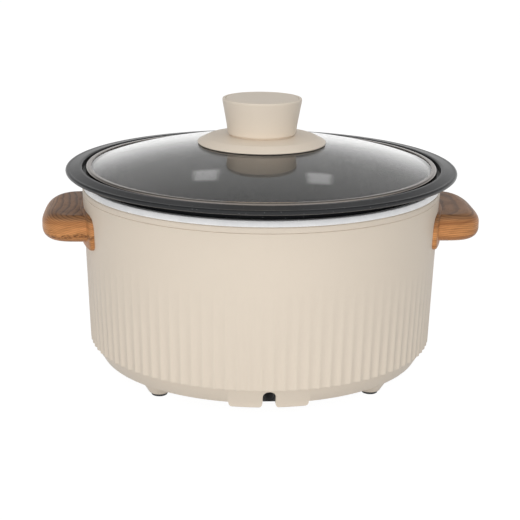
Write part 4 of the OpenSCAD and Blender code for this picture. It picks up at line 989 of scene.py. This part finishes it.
class CookerControls(bpy.types.Operator):
    """Makes the round panel on the far side, its marks and lamp, and the dial"""
    bl_idname = "cooker.controls"
    bl_label = "Controls"

    def execute(self, context):
        sizes = context.scene.cooker_sizes
        back, recess, hole_r, seat_r = 130, PANEL_Y - 0.6, 7.7, 21.6
        disc = turned("panel_disc", [(hole_r, back), (PANEL_R, back), (PANEL_R, PANEL_Y, 1.3),
            (seat_r, PANEL_Y, 0.3), (seat_r - 0.6, recess, 0.2), (hole_r, recess, 0.3)], 128, 5)
        low, high, fit = 20, 130, 0.1
        core = turned("core", [(0, low), (shell_r(low) + fit, low), (shell_r(high) + fit, high),
            (0, high)], 720)
        bore_r, near, far = LENS_R + fit, 120, 150
        lamp = turned("lamp", [(0, near), (bore_r, near), (bore_r, far), (0, far)], 32)
        panel = combined(faced(disc, DIAL_Z), [core, faced(lamp, LENS_Z)])
        dressed(panel, "panel", "housing", "panel_plastic", "control_panel")

        lens = turned("lamp_lens", [(0, LENS_BACK_Y), (LENS_R, LENS_BACK_Y), (LENS_R, PANEL_Y, 0.3),
            (LENS_R * 0.6, PANEL_Y + 0.18, 0.5), (0, PANEL_Y + 0.2)], 32)
        dressed(faced(lens, LENS_Z), "amber", "housing", "lens_amber", "indicator_lens")
        marks = faced(self.marks(sizes.dial_marks), DIAL_Z)
        dressed(marks, "white_mark", "housing", "dial_plastic")
        self.dial(sizes.dial_ribs)
        return {"FINISHED"}

    def marks(self, count):
        """Ticks over three quarters of a turn, and a plain figure at each quarter."""
        low, start = PANEL_Y - 0.05, -math.pi / 2
        tick = box_mesh("tick", (-0.9, -0.22, low), (0.9, 0.22, PANEL_Y + 0.06))
        ticks = copies_on_circle("ticks", tick, count, TICK_R, start, "white_mark",
            math.radians(-270) * count / (count - 1))
        long = box_mesh("long", (-1.2, -0.38, low), (1.2, 0.38, PANEL_Y + 0.07))
        longs = copies_on_circle("longs", long, 4, LONG_TICK_R, start, "white_mark")
        figures = [self.figure(str(k), x, y)
            for k, (x, y) in enumerate(arc(0, 0, FIGURE_R, -90, -270, 3))]
        return joined("panel_marks", [ticks, longs] + figures)

    def figure(self, text, x, y):
        """A small raised figure, readable from the far side."""
        curve = bpy.data.curves.new("figure", "FONT")
        curve.body, curve.size, curve.extrude = text, FIGURE_H * MM, 0.05 * MM
        curve.align_x, curve.align_y = "CENTER", "CENTER"
        holder = bpy.data.objects.new("figure", curve)
        bpy.context.scene.collection.objects.link(holder)
        return placed(plain(holder), (x, y, PANEL_Y), math.pi, "Z")

    def dial(self, ribs):
        """A round dial with a grip bar across it, fine ribs and a pointer line."""
        front, face_r = DIAL_Y + DIAL_T, DIAL_R - 0.35
        body = turned("dial_body", [(0, DIAL_Y), (face_r, DIAL_Y, 0.3), (face_r, front, 1.5),
            (0, front)], 144, 6)
        deep, bar, inner = DIAL_Y + 3.4, 4.5, DIAL_R - 2.8
        half = math.acos((bar + 0.2) / inner)
        turns = [-half + 2 * half * k / 28 for k in range(29)]
        pockets = [prism("pocket", [(side * inner * math.cos(a), inner * math.sin(a)) for a in turns],
            deep, front + 2, 0.6) for side in (-1, 1)]
        hollow_r, hollow_y = 8.5, DIAL_Y + 1.6
        hollow = turned("hollow", [(SHAFT_R, DIAL_Y - 1), (hollow_r, DIAL_Y - 1),
            (hollow_r, hollow_y), (SHAFT_R, hollow_y)])
        line = box_mesh("line", (-0.6, -0.88 * DIAL_R, front - 0.45), (0.6, -0.28 * DIAL_R, front + 1))
        body = combined(body, pockets + [hollow, line], sharp=34)
        shaft = turned("shaft", [(0, SHAFT_END_Y), (SHAFT_R, SHAFT_END_Y, 0.4), (SHAFT_R, DIAL_Y + 2),
            (0, DIAL_Y + 2)], 32)
        rib = turned("rib", [(0, DIAL_Y + 1.0), (0.5, DIAL_Y + 1.0, 0.3), (0.5, front - 2.4, 0.4),
            (0, front - 2.4)], 10, 2)
        rib_ring = copies_on_circle("ribs", rib, ribs, DIAL_R - 0.5, 0.0, "dial")
        body = joined("dial_body", [body, shaft, rib_ring], 34)
        dressed(faced(body, DIAL_Z), "dial", "dial", "dial_plastic", "control_dial")
        pointer = box_mesh("dial_pointer", (-0.5, -0.87 * DIAL_R, front - 0.44),
            (0.5, -0.29 * DIAL_R, front - 0.2))
        dressed(faced(pointer, DIAL_Z), "dark_mark", "dial", "panel_plastic")


class CookerScrews(bpy.types.Operator):
    """Makes the screws that show: four under the base and three in the heating well"""
    bl_idname = "cooker.screws"
    bl_label = "Screws"

    def execute(self, context):
        under = faced(pan_head(14.5), FLOOR_Z, math.pi)
        under = copies_on_circle("base_screw_set", under, 4, BASE_SCREW_CIRCLE_R, BASE_SCREW_TURN,
            "steel")
        inside = faced(pan_head(12), LINER_FLOOR_TOP, 0.0)
        inside = copies_on_circle("well_screw_set", inside, 3, WELL_SCREW_CIRCLE_R, math.pi / 2,
            "steel")
        for piece, node in ((under, "base_screws"), (inside, "liner_screws")):
            dressed(piece, "steel", "housing", "zinc_steel", node)
        return {"FINISHED"}


class CookerInside(bpy.types.Operator):
    """Gives the solids that stay their own finishes"""
    bl_idname = "cooker.inside"
    bl_label = "Inner parts"

    finishes = {"silicone": "lid_gasket lid_seal", "brass": "knob_insert terminal_screws",
        "steel": "lid_washer lid_screw plate_studs plate_nuts handle_screws switch_nut",
        "sheet": "heat_shield sensor_holder", "element": "heater_element",
        "spring": "sensor_spring", "black": "thermostat selector_switch",
        "ceramic": "thermal_fuse", "nylon": "terminal_block", "lead": "internal_leads"}

    def execute(self, context):
        for finish, nodes in self.finishes.items():
            for node in nodes.split():
                for place in frame["nodes"][node].material_slots:
                    place.material = FINISHES[finish]
        return {"FINISHED"}


# Stage

class CookerStage(bpy.types.Operator):
    """Makes the pale floor, the white surroundings, the soft lamps and the camera"""
    bl_idname = "cooker.stage"
    bl_label = "Stage"

    def execute(self, context):
        scene = context.scene
        scene.view_settings.view_transform = "Standard"
        self.surroundings(scene)
        self.floor(scene)
        self.camera(scene)
        self.lamp(scene, "key", (-0.34, -2.2, 0.62), (1.3, 0.9), 22)
        self.lamp(scene, "back", (0.8, 2.2, 0.35), (1.3, 0.7), 7)
        return {"FINISHED"}

    def surroundings(self, scene):
        """White as seen; as a light it is bright in front and low down, and dim high up behind."""
        world = bpy.data.worlds.new("surroundings")
        g = fresh_tree(world)
        seen, shine, through = g.several("ShaderNodeLightPath", None,
            "Is Camera Ray", "Is Glossy Ray", "Is Transmission Ray")
        x, y, z = g.xyz(g.node("ShaderNodeTexCoord", out="Generated"))
        behind = z.ramp(0.08, 0.42, 1.07, 0.295) - z.ramp(0.45, 0.80, 0.0, 0.105)
        ahead = z.ramp(0.30, 0.95, 1.13, 0.68)
        side = y.ramp(-0.35, 0.45)
        level = ahead * (1.0 - side) + behind * (0.97 + 0.16 * x) * side

        # Two soft windows that only shine on gloss: where they are in degrees, and their lean
        turn, rise = x.turn_from(y) * math.degrees(1), z.arcsin() * math.degrees(1)
        spots = 0.0
        for around, height, lean in ((-4.1, 33.4, 1), (11.4, 34.2, -1)):
            across, up = turn - around, rise - height
            wide = (across + 0.21 * lean * up).size()
            high = (up - 0.35 * lean * across).size()
            spots = 1.2 * (1.0 - wide.ramp(1.0, 2.3)) * (1.0 - high.ramp(1.7, 3.7)) + spots
        straight = seen.at_least(through)
        soft = level * 0.47 + z.ramp(0.40, 0.95) * 0.60
        strength = straight + (1.0 - straight) * (shine * (level + spots) + (1.0 - shine) * soft)
        light = g.node("ShaderNodeBackground", {"Color": (1.0, 1.0, 1.0), "Strength": strength})
        g.node("ShaderNodeOutputWorld", {"Surface": light})
        scene.world = world

    def floor(self, scene):
        """A pale floor that glows white where it is seen, and keeps some of the shadow."""
        material = bpy.data.materials.new("stage_floor")
        g = fresh_tree(material)
        seen, shine = g.several("ShaderNodeLightPath", None, "Is Camera Ray", "Is Glossy Ray")
        diffuse = g.node("ShaderNodeBsdfDiffuse", {"Color": (0.58, 0.58, 0.58)})
        glow = g.node("ShaderNodeEmission", {"Color": (1.0, 1.0, 1.0), "Strength": 1.20})
        mixed = g.node("ShaderNodeMixShader", {0: seen * 0.80 + shine * 0.8, 1: diffuse, 2: glow})
        g.node("ShaderNodeOutputMaterial", {"Surface": mixed})
        mesh = bpy.data.meshes.new("stage_floor")
        mesh.from_pydata([(-6, -6, 0), (6, -6, 0), (6, 6, 0), (-6, 6, 0)], [], [(0, 1, 2, 3)])
        mesh.materials.append(material)
        floor = bpy.data.objects.new("stage_floor", mesh)
        scene.collection.objects.link(floor)

    def camera(self, scene):
        """A long lens a little above the object, turned slightly off its cord side."""
        around, pitch, roll = math.radians(-3.4), math.radians(15.95), math.radians(0.7)
        far, height = 1.101, 0.084
        place = Vector((math.sin(around) * far * math.cos(pitch),
            -math.cos(around) * far * math.cos(pitch), height + far * math.sin(pitch)))
        ahead = (Vector((0, 0, height)) - place).normalized()
        right = ahead.cross(Vector((0, 0, 1))).normalized()
        up = right.cross(ahead)
        c, s = math.cos(roll), math.sin(roll)
        right, up = c * right + s * up, c * up - s * right
        data = bpy.data.cameras.new("camera")
        data.lens, data.sensor_width, data.clip_start = 92.98, 36.0, 0.05
        data.shift_x = -0.3 / 520
        camera = bpy.data.objects.new("camera", data)
        camera.matrix_world = Matrix((right, up, -ahead)).transposed().to_4x4()
        camera.location = place
        scene.collection.objects.link(camera)
        scene.camera = camera

    def lamp(self, scene, name, place, size, power):
        """A soft lamp that is aimed at the shell and seen in nothing."""
        data = bpy.data.lights.new(name, "AREA")
        data.shape, data.energy = "RECTANGLE", power
        data.size, data.size_y = size
        lamp = bpy.data.objects.new(name, data)
        lamp.location = place
        aim = Vector((0, 0, 0.08)) - Vector(place)
        lamp.rotation_euler = aim.to_track_quat("-Z", "Y").to_euler()
        lamp.visible_glossy = lamp.visible_transmission = lamp.visible_camera = False
        scene.collection.objects.link(lamp)


# Add-on

class CookerFinishes(bpy.types.Operator):
    """Makes every finish from the colours in the panel"""
    bl_idname = "cooker.finishes"
    bl_label = "Finishes"

    def execute(self, context):
        FINISHES.clear()
        FINISHES.update(make_finishes())
        return {"FINISHED"}


FINISHES = {}
STEPS = (CookerFinishes, CookerShell, CookerRims, CookerHeater, CookerPot, CookerLid, CookerKnob,
    CookerBase, CookerHandles, CookerControls, CookerScrews, CookerInside, CookerStage)


class CookerPanel(bpy.types.Panel):
    """The sizes and colours, and a button for each group of pieces"""
    bl_idname = "VIEW3D_PT_cooker"
    bl_label = "Slow cooker"
    bl_space_type = "VIEW_3D"
    bl_region_type = "UI"
    bl_category = "Cooker"

    def draw(self, context):
        for group in (context.scene.cooker_sizes, context.scene.cooker_colours):
            box = self.layout.box()
            for key in group.__annotations__:
                box.prop(group, key)
        column = self.layout.column(align=True)
        for step in STEPS:
            column.operator(step.bl_idname)


CLASSES = (CookerSizes, CookerColours) + STEPS + (CookerPanel,)


def register():
    for made in CLASSES:
        bpy.utils.register_class(made)
    bpy.types.Scene.cooker_sizes = PointerProperty(type=CookerSizes)
    bpy.types.Scene.cooker_colours = PointerProperty(type=CookerColours)


def unregister():
    del bpy.types.Scene.cooker_colours
    del bpy.types.Scene.cooker_sizes
    for made in reversed(CLASSES):
        bpy.utils.unregister_class(made)


def main():
    register()
    for step in STEPS:
        group, name = step.bl_idname.split(".")
        getattr(getattr(bpy.ops, group), name)()


if __name__ == "__main__":
    main()
